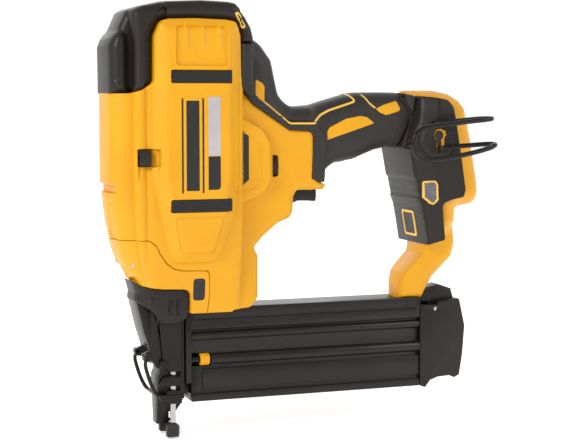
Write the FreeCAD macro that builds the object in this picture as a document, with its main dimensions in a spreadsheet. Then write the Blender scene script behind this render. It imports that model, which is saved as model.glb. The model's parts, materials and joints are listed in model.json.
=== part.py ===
import FreeCAD, Part
import math
import os
import re
import Sketcher

# Cordless brad nailer, bare tool.  Millimetres.
# Origin: the tip of the nose, on the drive axis.  +Z is up along the driver, +X runs
# back towards the handle, the battery foot and the end of the magazine, and +Y is the
# tool's right-hand side.
V = FreeCAD.Vector
doc = FreeCAD.newDocument("brad_nailer")
sheet = doc.addObject("Spreadsheet::Sheet", "dims")

SIZES = {
    # overall stations
    "crown_z": 292.5, "front_reach": 45.5, "barrel_x": 9.3, "barrel_rear": 57.0,
    "hump_x": 57.0, "grip_z": 208.0, "grip_depth": 38.0,
    "foot_z": 192.0, "foot_height": 82.0, "foot_tilt": 9.6,
    # half widths of the moulded body
    "barrel_half": 38.0, "shoulder_half": 30.0, "front_half": 24.0, "neck_half": 18.0,
    "grip_half": 15.0, "rubber": 2.0, "leg_half": 13.0, "foot_half": 29.5,
    "foot_cover": 5.2, "wall": 2.6, "cap_depth": 13.5, "cap_drop": 61.0,
    # magazine
    "mag_front": 6.7, "mag_length": 174.0, "mag_bottom": 22.0, "mag_height": 64.0,
    "mag_half": 12.5, "rail_height": 14.5, "web_half": 1.6, "mag_wall": 4.2,
    "end_cap": 32.0, "mag_travel": 130.0,
    # the foot stands on the end of the rail
    "foot_x": "=mag_front + mag_length + 9.3",
    # drive
    "blade_width": 6.0, "blade_thick": 1.8, "stroke": 88.0, "rod_r": 2.5,
    "rod_pitch": 18.0, "flywheel_r": 23.7, "flywheel_half": 9.0, "drive_z": 190.0,
    "roller_r": 7.0, "axle_r": 3.0, "bearing_r": 8.0, "bearing_width": 6.0,
    "frame_plate": 3.0, "frame_half": 26.4, "blade_half_block": 3.0,
    # controls and small parts
    "trigger_x": 85.0, "trigger_z": 166.0, "trigger_half": 8.5, "pin_r": 1.5,
    "wheel_x": 68.5, "wheel_z": 182.0, "wheel_r": 19.5, "wheel_width": 6.0,
    "nose_half": 10.0, "trip_thick": 1.6, "trip_width": 3.6, "trip_travel": 7.0,
    "hook_wire_r": 1.7, "hook_reach": 21.0, "screw_r": 1.5, "insert_r": 3.2,
    "insert_bore": 1.65, "gap": 0.4, "fit": 0.05,
}
for row, (alias, number) in enumerate(SIZES.items(), start=1):
    sheet.set(f"A{row}", alias)
    sheet.set(f"B{row}", str(number))
    sheet.setAlias(f"B{row}", alias)
doc.recompute()

NODES = []


# ---------------------------------------------------------------- helpers
def size(name):
    """The number that the sheet holds under an alias."""
    return float(sheet.get(name))


def link(expression):
    """The same expression with every alias written as a reference to the sheet."""
    return re.sub(r"[a-z]+(_[a-z]+)*", lambda m: "dims." + m.group(0)
                  if m.group(0) in SIZES else m.group(0), str(expression))


def bind(item, prop, expression):
    """Tie one property to an expression on the sheet."""
    item.setExpression(prop, link(expression))


def value(expression):
    """What an expression on the sheet comes to."""
    return float(sheet.evalExpression(str(expression)))


def place(item, at):
    """Tie an object's position to three expressions."""
    for letter, expression in zip("xyz", at):
        bind(item, f"Placement.Base.{letter}", expression)


def node(item, label):
    """Name a finished sub-part and list it for export."""
    item.Label = label
    NODES.append(item)
    return item


def box(name, x, y, z):
    """A block between two expressions along each axis."""
    item = doc.addObject("Part::Box", name)
    for prop, (low, high) in zip(("Length", "Width", "Height"), (x, y, z)):
        bind(item, prop, f"({high}) - ({low})")
    place(item, (x[0], y[0], z[0]))
    return item


TURNS = {"x": (V(0, 1, 0), 90), "y": (V(1, 0, 0), -90), "z": (V(0, 0, 1), 0)}


def rod(name, axis, radius, length, at):
    """A cylinder along one axis from its start point."""
    item = doc.addObject("Part::Cylinder", name)
    item.Placement = FreeCAD.Placement(V(), FreeCAD.Rotation(*TURNS[axis]))
    bind(item, "Radius", radius)
    bind(item, "Height", length)
    place(item, at)
    return item


def fuse(name, *parts):
    item = doc.addObject("Part::MultiFuse", name)
    item.Shapes = list(parts)
    return item


def cut(name, base, *tools):
    item = doc.addObject("Part::Cut", name)
    item.Base = base
    item.Tool = tools[0] if len(tools) == 1 else fuse(name + "_tools", *tools)
    return item


def tube(name, axis, outer, inner, length, at):
    """A round sleeve along one axis."""
    return cut(name, rod(name + "_out", axis, outer, length, at),
               rod(name + "_in", axis, inner, length, at))


def sketch(body, name, plane, points, offset="0"):
    """A closed outline whose corners are tied to expressions on the sheet."""
    item = body.newObject("Sketcher::SketchObject", name)
    origin = [f for f in body.Origin.OriginFeatures if f.Role == plane][0]
    item.AttachmentSupport = [(origin, "")]
    item.MapMode = "FlatFace"
    bind(item, "AttachmentOffset.Base.z", offset)
    corners = [V(value(a), value(b), 0) for a, b in points]
    count = len(corners)
    for i in range(count):
        item.addGeometry(Part.LineSegment(corners[i], corners[(i + 1) % count]), False)
    for i in range(count):
        item.addConstraint(Sketcher.Constraint("Coincident", i, 2, (i + 1) % count, 1))
    for i, (a, b) in enumerate(points):
        for kind, number, expression in (("DistanceX", corners[i].x, a),
                                         ("DistanceY", corners[i].y, b)):
            index = item.addConstraint(Sketcher.Constraint(kind, -1, 1, i, 1, number))
            bind(item, f"Constraints[{index}]", expression)
    return item


def plate(name, plane, points, thick, offset="0"):
    """A PartDesign body: one outline padded evenly to both sides of its plane."""
    body = doc.addObject("PartDesign::Body", name)
    pad = body.newObject("PartDesign::Pad", name + "_pad")
    pad.Profile = sketch(body, name + "_outline", plane, points, offset)
    pad.SideType = "Symmetric"
    bind(pad, "Length", thick)
    body.Tip = pad
    doc.recompute()
    return body


def pocket(body, name, plane, points, thick, offset="0"):
    """Cut an outline out of a body, evenly to both sides of its plane."""
    before = body.Shape.Volume
    feature = body.newObject("PartDesign::Pocket", name)
    feature.Profile = sketch(body, name + "_outline", plane, points, offset)
    feature.SideType = "Symmetric"
    bind(feature, "Length", thick)
    body.Tip = feature
    doc.recompute()
    if body.Shape.Volume >= before - 0.01:
        raise ValueError(name + " cuts nothing")
    return body


def round_off(body, name, radius, chosen):
    """Fillet the straight edges of a body that the test picks."""
    base = body.Tip
    names = [f"Edge{i}" for i, edge in enumerate(base.Shape.Edges, start=1)
             if isinstance(edge.Curve, Part.Line) and chosen(edge)]
    feature = body.newObject("PartDesign::Fillet", name)
    feature.Base = (base, names)
    bind(feature, "Radius", radius)
    body.Tip = feature
    doc.recompute()
    return body


def along(direction):
    """A test for straight edges that run along one axis."""
    return lambda edge: abs(edge.tangentAt(edge.FirstParameter).dot(direction)) > 0.99


def turned(name, axis, profile, at):
    """A PartDesign body turned on a lathe: (radius, distance along the axis) corners."""
    body = doc.addObject("PartDesign::Body", name)
    turn = body.newObject("PartDesign::Revolution", name + "_turn")
    turn.Profile = sketch(body, name + "_profile", "XZ_Plane", profile)
    turn.ReferenceAxis = (turn.Profile[0], ["V_Axis"])
    turn.Angle = 360
    body.Tip = turn
    body.Placement = FreeCAD.Placement(V(), FreeCAD.Rotation(*TURNS[axis]))
    place(body, at)
    doc.recompute()
    return body


def outline(points):
    """A closed wire in the XZ plane: (x, z) or (x, z, corner radius) points."""
    edges = []
    count = len(points)
    corners = []
    for i in range(count):
        here = V(points[i][0], 0, points[i][1])
        radius = points[i][2] if len(points[i]) > 2 else 0
        back = (V(points[i - 1][0], 0, points[i - 1][1]) - here)
        ahead = (V(points[(i + 1) % count][0], 0, points[(i + 1) % count][1]) - here)
        room = 0.45 * min(back.Length, ahead.Length)
        back.normalize()
        ahead.normalize()
        half = math.acos(max(-1, min(1, back.dot(ahead)))) / 2
        if radius == 0 or half > math.radians(88):
            corners.append((here, None, here))
            continue
        run = min(radius / math.tan(half), room)
        middle = here + (back + ahead).normalize() * (
            run / math.cos(half) - run * math.tan(half))
        corners.append((here + back * run, middle, here + ahead * run))
    for i in range(count):
        start, middle, end = corners[i]
        if middle is not None:
            edges.append(Part.Arc(start, middle, end).toShape())
        following = corners[(i + 1) % count][0]
        if (following - end).Length > 1e-4:
            edges.append(Part.LineSegment(end, following).toShape())
    return Part.Wire(edges)


def slab(points, low, high, inset=0.0):
    """An outline, drawn in by the inset, extruded along Y between two distances."""
    wire = outline(points)
    if inset:
        wire = wire.makeOffset2D(-inset, 0, False, False, True)
    face = Part.Face(wire)
    solid = face.extrude(V(0, high - low, 0))
    solid.translate(V(0, low, 0))
    return solid


def mirror(shape):
    return shape.mirror(V(), V(0, 1, 0))


def moulding(label, shape):
    """A sub-part whose shape is set directly."""
    item = doc.addObject("Part::Feature", label)
    item.Shape = shape.removeSplitter()
    item.Placement = FreeCAD.Placement()
    return node(item, label)


# ---------------------------------------------------------------- moulded body outlines
crown = size("crown_z")
front = -size("front_reach")
lid_z = crown - size("cap_depth")
cap_z = crown - size("cap_drop")
mid = size("barrel_x")
wall = size("wall")
rear = size("barrel_rear")
mag_top = size("mag_bottom") + size("mag_height")
saddle = mag_top - 2.2
step_x = mid + 27.7
seat = mag_top + 0.3
hump = size("hump_x")
grip = size("grip_z")
foot_x = size("foot_x")
foot_z = size("foot_z")
trigger_x = size("trigger_x")
trigger_z = size("trigger_z")
low_foot = foot_z - size("foot_height") / 2
rubber = size("rubber")


def barrel_outline():
    """The driver and motor housing seen from the side."""
    return [(front, cap_z), (-18.6, cap_z + 4), (-18.6, lid_z), (mid + 34.7, lid_z, 4),
            (mid + 34.7, cap_z + 1), (rear - 3, cap_z - 9), (rear + 3, grip - 8),
            (rear + 3, 134, 3), (rear - 3, 127, 2), (rear, 121.5, 3), (rear, seat + 4, 4),
            (rear - 5, seat), (step_x, seat), (step_x, saddle), (8, saddle),
            (8, 101, 4), (-25, 104), (-36.5, 126, 40), (-41.5, 152, 60), (front, 176)]


def shoulder_outline():
    return [(-34, cap_z - 2, 6), (-18.6, cap_z + 4), (-18.6, lid_z - 4),
            (mid + 33, lid_z - 4, 6), (mid + 34.5, cap_z), (mid + 42, grip - 4, 8),
            (mid + 38, 158, 8), (mid + 24, 118, 8), (8.5, 112, 4), (-22, 118, 8),
            (-33, 150, 20)]


def panel_outline():
    return [(mid - 29.3, lid_z - 6, 3), (mid - 22.5, lid_z - 0.5, 3),
            (mid + 21, lid_z - 0.5, 3), (mid + 29.1, lid_z - 7, 3),
            (mid + 29.1, 200, 20), (mid + 26, 158, 10), (mid + 19, 134, 12),
            (mid + 10.5, 120.5, 8), (mid - 10.7, 120.5, 8), (mid - 21, 136, 12),
            (mid - 29.3, 160, 12)]


def neck_outline():
    """The core behind the barrel: hump, trigger bridge and front of the grip."""
    return [(rear - 15, lid_z - 9), (hump, lid_z - 12, 5), (hump + 11, lid_z - 18, 8),
            (hump + 15, lid_z - 38, 10), (hump + 20, grip + 19, 10),
            (hump + 29, grip + 13, 8), (hump + 45, grip + 13.5),
            (trigger_x + 21, grip - 10), (trigger_x + 21, trigger_z + 2.5, 3),
            (trigger_x - 0.5, trigger_z + 1), (trigger_x - 3, trigger_z - 17),
            (rear + 3, 134), (rear - 15, 140)]


def grip_outline():
    """The core of the handle between the trigger and the foot."""
    half = size("grip_depth") / 2
    return [(hump + 33, grip + half - 6), (hump + 51, grip + half - 3.5, 40),
            (hump + 76, grip + half + 2.5, 40), (foot_x - 14, grip + half + 1),
            (foot_x - 14, grip - half + 6.5), (foot_x - 42, grip - half + 4.5, 30),
            (foot_x - 60, grip - half - 2, 20), (trigger_x + 31, grip - half - 4, 12),
            (trigger_x + 24, grip - half - 10, 6), (trigger_x + 21, trigger_z + 8),
            (hump + 33, trigger_z + 8)]


def foot_outline():
    """The battery foot of the yellow body."""
    top = foot_z + size("foot_height") / 2
    return [(foot_x - 24, top - 3, 4), (foot_x - 6, top + 1, 8), (foot_x + 14, top - 1, 10),
            (foot_x + 28, top - 8, 8), (foot_x + 30, top - 17, 6),
            (foot_x + 38.3, low_foot + 13, 8), (foot_x + 34, low_foot + 2, 6),
            (foot_x + 17, low_foot - 1.5, 2), (foot_x + 3.5, low_foot - 2),
            (foot_x + 4, low_foot - 24, 3), (foot_x - 12.5, low_foot - 25.5, 3),
            (foot_x - 19, low_foot + 4, 6), (foot_x - 24, low_foot + 20, 12)]


def leg_outline():
    """The leg that joins the foot to the magazine."""
    return [(foot_x - 14, low_foot), (foot_x + 16.5, low_foot), (foot_x + 19.5, low_foot - 30, 9),
            (foot_x - 5.5, seat + 6, 5), (foot_x - 8, seat), (foot_x - 25, seat),
            (foot_x - 25, seat + 11, 7), (foot_x - 8.5, low_foot - 33, 7),
            (foot_x - 8.5, low_foot - 26), (foot_x - 13, low_foot - 24)]


BODY_SLABS = [(barrel_outline, "front_half"), (shoulder_outline, "shoulder_half"),
              (panel_outline, "barrel_half"), (neck_outline, "neck_half"),
              (grip_outline, "grip_half"), (foot_outline, "foot_half"),
              (leg_outline, "leg_half")]


def fused(shapes):
    return shapes[0].multiFuse(shapes[1:])


def solid_half(inset):
    """One half of the body, or the space inside it when the inset is the wall."""
    return fused([slab(shape(), 0, size(half) - inset, inset)
                  for shape, half in BODY_SLABS])


# Screw posts: place in the side view and half width of the body there.
POSTS = [(-37.5, 160, "front_half"), (-37, 216, "front_half"), (50.5, 96, "front_half"),
         (hump + 9, 150, "neck_half"), (hump + 38, 212, "neck_half"),
         (foot_x - 32, grip + 3, "grip_half"), (foot_x - 4, 226, "foot_half"),
         (foot_x + 8, 120, "leg_half"), (-30.5, 118, "front_half")]
HEAD_R = 2 * size("screw_r")
HEAD_DEPTH = 2.4


def posts(low_clear, radius):
    """Round posts along Y at every body screw, up to the outer wall."""
    shapes = []
    for x, z, half in POSTS:
        shapes.append(Part.makeCylinder(radius, size(half) - low_clear, V(x, 0, z),
                                        V(0, 1, 0)))
    return fused(shapes)


def battery_pocket():
    """The space at the back of the foot that a battery's rails slide up into."""
    top = foot_z + size("foot_height") / 2
    lean = math.tan(math.radians(size("foot_tilt")))
    face_x = foot_x + 30.5
    low, high = low_foot - 12, top - 9
    points = [(face_x - 10 - (high - top + 17) * lean, high),
              (face_x + 12 - (high - top + 17) * lean, high),
              (face_x + 14 + (top - 17 - low) * lean, low),
              (face_x - 10 + (top - 17 - low) * lean, low)]
    return slab(points, -25, 25)


def body_half():
    shell = solid_half(0).cut(solid_half(wall))
    shell = shell.fuse(posts(wall / 2, HEAD_R + 1))
    shell = shell.cut(battery_pocket())
    # openings: vents, stall lever slot, depth wheel slot, trigger well, nose mouth
    for low in (lid_z - 41, 153.5):
        shell = shell.cut(slab([(mid - 18.2, low), (mid + 23.2, low),
                                (mid + 23.2, low + 8.2), (mid - 18.2, low + 8.2)], 30, 40))
    shell = shell.cut(slab([(-29.4, 183.3), (-15, 183.3), (-15, 194.7), (-29.4, 194.7)],
                           22, 40))
    shell = shell.cut(wheel_slot())
    well = size("trigger_half") + size("gap")
    shell = shell.cut(slab([(trigger_x - 9, trigger_z - 19), (trigger_x + 20, trigger_z - 6),
                            (trigger_x + 20, trigger_z + 6), (trigger_x - 9, trigger_z + 6)],
                           0, well))
    mouth = size("nose_half") + 1
    shell = shell.cut(slab([(-17, 90), (12, 90), (12, 112), (-17, 112)], 0, mouth))
    shell = shell.cut(strap_opening())
    return shell.cut(insert_hole())


def wheel_slot():
    """The slot in each side that the rim of the depth wheel stands out of."""
    inner = size("neck_half") - wall
    tall = math.sqrt(size("wheel_r") ** 2 - inner ** 2) + 2 * size("gap")
    wide = size("wheel_width") / 2 + 2 * size("gap")
    x, z = size("wheel_x"), size("wheel_z")
    return slab([(x - wide, z - tall), (x + wide, z - tall), (x + wide, z + tall),
                 (x - wide, z + tall)], inner - 1, size("neck_half") + 4)


def strap_opening():
    """Room above the nose for a strap and the ear of the contact trip to rise into."""
    return slab([(-6.2, 96), (1.8, 96), (1.8, 107), (-6.2, 107)],
                size("nose_half") - 1, size("nose_half") + 7)


def insert_hole():
    """The hole through the side of the foot for the belt hook's threaded insert."""
    return Part.makeCylinder(size("insert_r") + size("fit"), 60,
                             V(foot_x - 5.5, 0, foot_z + 7), V(0, 1, 0))


def seam_outline():
    """The cover over the front of the drive, below the seam on each side."""
    return [(front - 2, 135), (-22, 134, 4), (-14.8, 126), (-4.6, 115, 6), (18.8, 113, 2),
            (20, saddle - 2), (front - 2, saddle - 2)]


left_post_bore = posts(-1, size("screw_r") + size("fit"))
head_bore = fused([Part.makeCylinder(HEAD_R + 0.15, 60, V(x, size(h) - HEAD_DEPTH, z),
                                     V(0, 1, 0)) for x, z, h in POSTS])
cover_tool = slab(seam_outline(), -1, size("barrel_half") + 1)
plain_half = body_half()
right_half = plain_half.cut(left_post_bore).cut(head_bore)
left_half = mirror(plain_half.cut(posts(wall * 1.5, size("screw_r") + size("fit"))))
moulding("housing_right", right_half.cut(cover_tool))
moulding("housing_left", left_half.cut(mirror(cover_tool)))
moulding("nose_cover_right", right_half.common(cover_tool))
moulding("nose_cover_left", left_half.common(mirror(cover_tool)))
moulding("housing_screws", Part.makeCompound([
    Part.makeCylinder(size("screw_r"), 2 * size(h) - HEAD_DEPTH - 1.5 * wall - 1,
                      V(x, 1.5 * wall + 1 - size(h), z), V(0, 1, 0)).fuse(
        Part.makeCylinder(HEAD_R, HEAD_DEPTH - 0.6, V(x, size(h) - HEAD_DEPTH, z),
                          V(0, 1, 0))) for x, z, h in POSTS]))


# ---------------------------------------------------------------- cap, rubber, foot covers
def cap_outline():
    return [(front, cap_z + 0.2), (front + 0.5, crown - 30), (front + 7, crown - 19, 4),
            (front + 11, crown - 9, 4), (front + 18, crown - 4, 6), (-13, crown - 1, 20),
            (mid + 5, crown), (mid + 27, crown - 0.5, 4), (mid + 34.5, crown - 4, 4),
            (mid + 41, crown - 8.5, 8), (mid + 46, crown - 17, 6), (mid + 46.7, lid_z - 9),
            (mid + 34.9, lid_z - 5), (mid + 34.9, lid_z + 0.2), (-18.8, lid_z + 0.2),
            (-18.8, cap_z + 4.2)]


def lid_outline():
    return [(mid - 24, lid_z + 0.2), (mid + 24, lid_z + 0.2), (mid + 24, crown - 3, 4),
            (mid - 24, crown - 3, 4)]


def make_cap():
    """The stepped black cover over the top of the drive."""
    outer = slab(cap_outline(), -size("front_half"), size("front_half"))
    outer = outer.fuse(slab(lid_outline(), -size("barrel_half") + 5, size("barrel_half") - 5))
    inner = slab(cap_outline(), -size("front_half") + wall, size("front_half") - wall, wall)
    body = solid_half(0)
    moulding("top_cap", outer.cut(inner).cut(body).cut(mirror(body)))


def rubber_half():
    """The soft grip sleeve over the hump and the handle, one side."""
    neck = [(mid + 35.2, lid_z - 5.2), (hump, lid_z - 10, 5), (hump + 13, lid_z - 17, 9),
            (hump + 17.5, lid_z - 38, 12), (hump + 22, grip + 19.5, 10),
            (hump + 29, grip + 14.5, 8), (hump + 44, grip + 15.3), (hump + 44, trigger_z + 8),
            (hump + 37.5, trigger_z + 8), (hump + 36, grip - 2.3, 3), (hump + 22, grip - 2),
            (hump - 4.4, grip + 16), (mid + 37.6, cap_z - 1), (mid + 35.2, cap_z + 4)]
    half = size("grip_depth") / 2
    handle = [(hump + 37, grip + half - 4.2), (hump + 51, grip + half - 1.3, 40),
              (hump + 76, grip + half + 4.7, 40), (foot_x - 27, grip + half + 4.5),
              (foot_x - 25, grip - 6), (foot_x - 27, grip - half + 4.5),
              (foot_x - 42, grip - half + 2.4, 30), (foot_x - 60, grip - half - 4.2, 20),
              (trigger_x + 31, grip - half - 6, 12), (trigger_x + 24, grip - half - 14, 6),
              (trigger_x + 21.5, trigger_z + 4), (hump + 37, trigger_z + 6)]
    skin = slab(neck, 0, size("neck_half") + rubber).fuse(
        slab(handle, 0, size("grip_half") + rubber))
    return skin.cut(solid_half(0)).cut(head_bore).cut(posts(-1, HEAD_R + 0.5))


def foot_cover(side):
    """A black side cover of the foot, with its windows for the lamp and the belt hook."""
    top = foot_z + size("foot_height") / 2
    low, high = size("foot_half") + 0.1, size("foot_half") + size("foot_cover")
    points = [(foot_x - 23, top - 4, 5), (foot_x - 6, top - 3, 10), (foot_x + 6, top - 9, 8),
              (foot_x + 16, low_foot + 12, 6), (foot_x + 13, low_foot + 7.5),
              (foot_x - 1, low_foot + 3), (foot_x + 1, low_foot - 22.5, 4),
              (foot_x - 12, low_foot - 25, 5), (foot_x - 18, low_foot + 4, 8),
              (foot_x - 21, low_foot + 20, 12)]
    cover = slab(points, low, high)
    cover = cover.cut(slab(lamp_outline(0.1), low + 2, high + 1))
    cover = cover.cut(insert_hole())
    if side == "left":
        for x, z in hook_ends():
            cover = cover.cut(Part.makeCylinder(size("hook_wire_r") + 0.1, 60, V(x, 0, z),
                                                V(0, 1, 0)))
        cover = mirror(cover)
    moulding("foot_cover_" + side, cover)


def lamp_outline(grow):
    return [(foot_x - 20 - grow, low_foot + 18 + grow, 2),
            (foot_x - 8.5 + grow, low_foot + 19 + grow, 2),
            (foot_x - 7.5 + grow, low_foot + 4 - grow, 2),
            (foot_x - 12 - grow, low_foot + 4 - grow, 2),
            (foot_x - 18.5 - grow, low_foot + 9, 2)]


def hook_ends():
    """Where the two ends of the belt hook's wire enter the foot."""
    return [(foot_x - 9, foot_z + 18.5), (foot_x - 5.6, foot_z + 0.8)]


def vent_grilles():
    """The four black grilles that close the cooling slots in the side panels."""
    face = size("barrel_half") - 0.8
    grilles = []
    for low in (lid_z - 41, 153.5):
        grille = slab([(mid - 18.1, low + 0.1), (mid + 23.1, low + 0.1),
                       (mid + 23.1, low + 8.1), (mid - 18.1, low + 8.1)], face - 2, face)
        grilles += [grille, mirror(grille)]
    moulding("vent_grilles", Part.makeCompound(grilles))


make_cap()
vent_grilles()
rubber_right = rubber_half()
moulding("grip_rubber_right", rubber_right)
moulding("grip_rubber_left", mirror(rubber_right))
foot_cover("left")
foot_cover("right")
lens_low, lens_high = size("foot_half") + 2.2, size("foot_half") + size("foot_cover") + 0.4
lens = slab(lamp_outline(0), lens_low, lens_high)
moulding("lamp_lenses", Part.makeCompound([lens, mirror(lens)]))


def wire_path(points, radius):
    """Straight runs joined by tangent arcs, through three-dimensional points."""
    edges = []
    start = points[0]
    for before, here, after in zip(points, points[1:], points[2:]):
        back = (before - here)
        ahead = (after - here)
        room = 0.45 * min(back.Length, ahead.Length)
        back.normalize()
        ahead.normalize()
        half = math.acos(max(-1, min(1, back.dot(ahead)))) / 2
        run = min(radius / math.tan(half), room)
        middle = here + (back + ahead).normalize() * (
            run / math.cos(half) - run * math.tan(half))
        edges.append(Part.LineSegment(start, here + back * run).toShape())
        edges.append(Part.Arc(here + back * run, middle, here + ahead * run).toShape())
        start = here + ahead * run
    edges.append(Part.LineSegment(start, points[-1]).toShape())
    return Part.Wire(edges)


def swept(points, bend, radius):
    """A round wire along a path."""
    path = wire_path(points, bend)
    first = path.Edges[0]
    ring = Part.Circle(points[0], first.tangentAt(first.FirstParameter), radius)
    sweep = Part.BRepOffsetAPI.MakePipeShell(path)
    sweep.add(Part.Wire(ring.toShape()))
    sweep.setTransitionMode(2)
    sweep.build()
    sweep.makeSolid()
    return sweep.shape()


def make_hook():
    """The wire belt hook: two hairpins behind the foot joined by a loop beside it."""
    inner = -size("foot_half") - 0.5
    outer = -size("foot_half") - size("foot_cover") - size("hook_reach")
    (top_x, top_z), (low_x, low_z) = hook_ends()
    tip = foot_x + 28
    clear = inner - size("foot_cover") - 5.5
    points = [V(top_x, inner, top_z), V(top_x, clear, top_z), V(tip - 3, clear, top_z + 3),
              V(tip - 3, outer, top_z + 3), V(foot_x - 22, outer, top_z - 1.5),
              V(foot_x - 34, outer, foot_z + 9), V(foot_x - 34, outer, foot_z + 1),
              V(foot_x - 24, outer, foot_z - 6.5), V(tip, outer, low_z + 3.5),
              V(tip, clear, low_z + 3.5), V(low_x, clear, low_z), V(low_x, inner, low_z)]
    moulding("belt_hook", swept(points, 4.5, size("hook_wire_r")))


make_hook()


# ---------------------------------------------------------------- nose
def make_shroud():
    """The black cup around the root of the nose, open below and in front."""
    half = size("front_half") - 4
    cup = slab([(-25, 103.6), (7.7, 100.7, 3), (7.7, 84.2), (6.3, 84), (5, 79, 4), (1, 76.5, 2),
                (-11.6, 76.5, 2), (-11.6, 100.5), (-24, 103)], -half, half)
    room = slab([(-30, 76), (5.6, 76), (5.6, 98), (-11, 98), (-30, 98)],
                -half + wall + 1, half - wall - 1)
    neck = slab([(-14, 70), (5.8, 70), (5.8, 110), (-14, 110)],
                -size("nose_half") - 0.2, size("nose_half") + 0.2)
    slots = strap_opening()
    moulding("nose_shroud", cup.cut(room).cut(neck).cut(slots).cut(mirror(slots)))


def make_nosepiece():
    """The steel nose: driver channel, magazine flange and the fixed foot in front."""
    body = plate("nose_blank", "XZ_Plane",
                 [("-10.5", "108"), ("5.4", "108"), ("5.4", "mag_bottom + 3"),
                  ("4.5", "mag_bottom"), ("1.4", "15"), ("-3.5", "15"), ("-3.5", "7"),
                  ("-12", "7"), ("-12", "40"), ("-10.5", "43")], "2 * nose_half")
    pocket(body, "driver_channel", "XY_Plane",
           [("-blade_thick / 2 - fit", "-blade_width / 2 - fit"),
            ("blade_thick / 2 + fit", "-blade_width / 2 - fit"),
            ("blade_thick / 2 + fit", "blade_width / 2 + fit"),
            ("-blade_thick / 2 - fit", "blade_width / 2 + fit")], "230")
    pocket(body, "nail_mouth", "XZ_Plane",
           [("0", "mag_bottom + 3"), ("9", "mag_bottom + 3"),
            ("9", "mag_bottom + mag_height - rail_height - 2"),
            ("0", "mag_bottom + mag_height - rail_height - 2")], "2 * web_half")
    pocket(body, "jam_window", "XZ_Plane",
           [("-14", "45"), ("0", "45"), ("0", "74"), ("-14", "74")],
           "blade_width + 2 * fit")
    pocket(body, "profile_room", "XZ_Plane",
           [("-blade_half_block - gap", "mag_bottom + mag_height + 10.5"),
            ("blade_half_block + gap", "mag_bottom + mag_height + 10.5"),
            ("blade_half_block + gap", "110"), ("-blade_half_block - gap", "110")],
           "14 + 2 * gap")
    parts = [body]
    for side, sign in (("left", "-1"), ("right", "1")):
        for level in ("24", "34"):
            parts.append(strap_guide(side, sign, level))
    flange = box("nose_flange", ("2.3", "5.4"), ("-nose_half - 3", "nose_half + 3"),
                 ("mag_bottom + 3", "mag_bottom + mag_height - 7"))
    slot = box("flange_slot", ("-1", "6"), ("-web_half", "web_half"),
               ("mag_bottom + 3.5", "mag_bottom + mag_height - rail_height - 2"))
    parts.append(cut("nose_flange_cut", flange, slot))
    node(fuse("nosepiece", *parts), "nosepiece")


def strap_guide(side, sign, level):
    """A bridge on the side of the nose that a strap of the contact trip slides under."""
    near, far = "nose_half - 0.5", "nose_half + 2 * gap + trip_thick + 1.4"
    if sign == "-1":
        near, far = f"-({far})", f"-({near})"
    block = box(f"guide_{side}_{level}", ("-7", "2.6"), (near, far), (level, f"{level} + 7"))
    low, high = "nose_half - 1", "nose_half + 2 * gap + trip_thick"
    if sign == "-1":
        low, high = f"-({high})", f"-({low})"
    slot = box(f"guide_slot_{side}_{level}",
               ("-2.2 - trip_width / 2 - gap", "-2.2 + trip_width / 2 + gap"), (low, high),
               (f"{level} - 1", f"{level} + 8"))
    return cut(f"guide_cut_{side}_{level}", block, slot)


def make_trip():
    """The contact trip: two steel straps joined by a yoke behind the foot of the nose."""
    parts = [cut("trip_yoke",
                 box("trip_yoke_block", ("-2.9", "2.9"),
                     ("-nose_half - gap - trip_thick", "nose_half + gap + trip_thick"),
                     ("0.5", "6")),
                 box("nail_exit", ("-1.3", "1.3"),
                     ("-blade_width / 2 - gap", "blade_width / 2 + gap"), ("0", "7")))]
    for side, low, high in (("left", "-nose_half - gap - trip_thick", "-nose_half - gap"),
                            ("right", "nose_half + gap", "nose_half + gap + trip_thick")):
        parts.append(box("trip_strap_" + side,
                         ("-2.2 - trip_width / 2", "-2.2 + trip_width / 2"), (low, high),
                         ("0.5", "96")))
    parts.append(box("trip_ear", ("-5.2", "0.8"), ("-nose_half - 6", "-nose_half - gap"),
                     ("93", "96")))
    node(fuse("contact_trip", *parts), "contact_trip")
    pad = box("pad_block", ("-3.4", "4"), ("-nose_half + 3.5", "nose_half - 3.5"), ("-2", "6.4"))
    inside = box("pad_room", ("-2.9", "2.9"), ("-nose_half", "nose_half"), ("0.5", "6"))
    bore = rod("pad_bore", "z", "1.8", "10", ("0", "0", "-3"))
    top = box("pad_top_slot", ("-2.2", "2.2"), ("-nose_half", "nose_half"), ("5", "7"))
    node(cut("no_mar_pad", pad, inside, bore, top), "no_mar_pad")
    node(tube("trip_spring", "z", "2.1", "1.5", "14", ("-2.2", "-nose_half - 3.6", "96")),
         "trip_spring")


DOOR_PIN = ("-18.6", "90.5")
BAIL_PIN = ("-20.8", "55")


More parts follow.
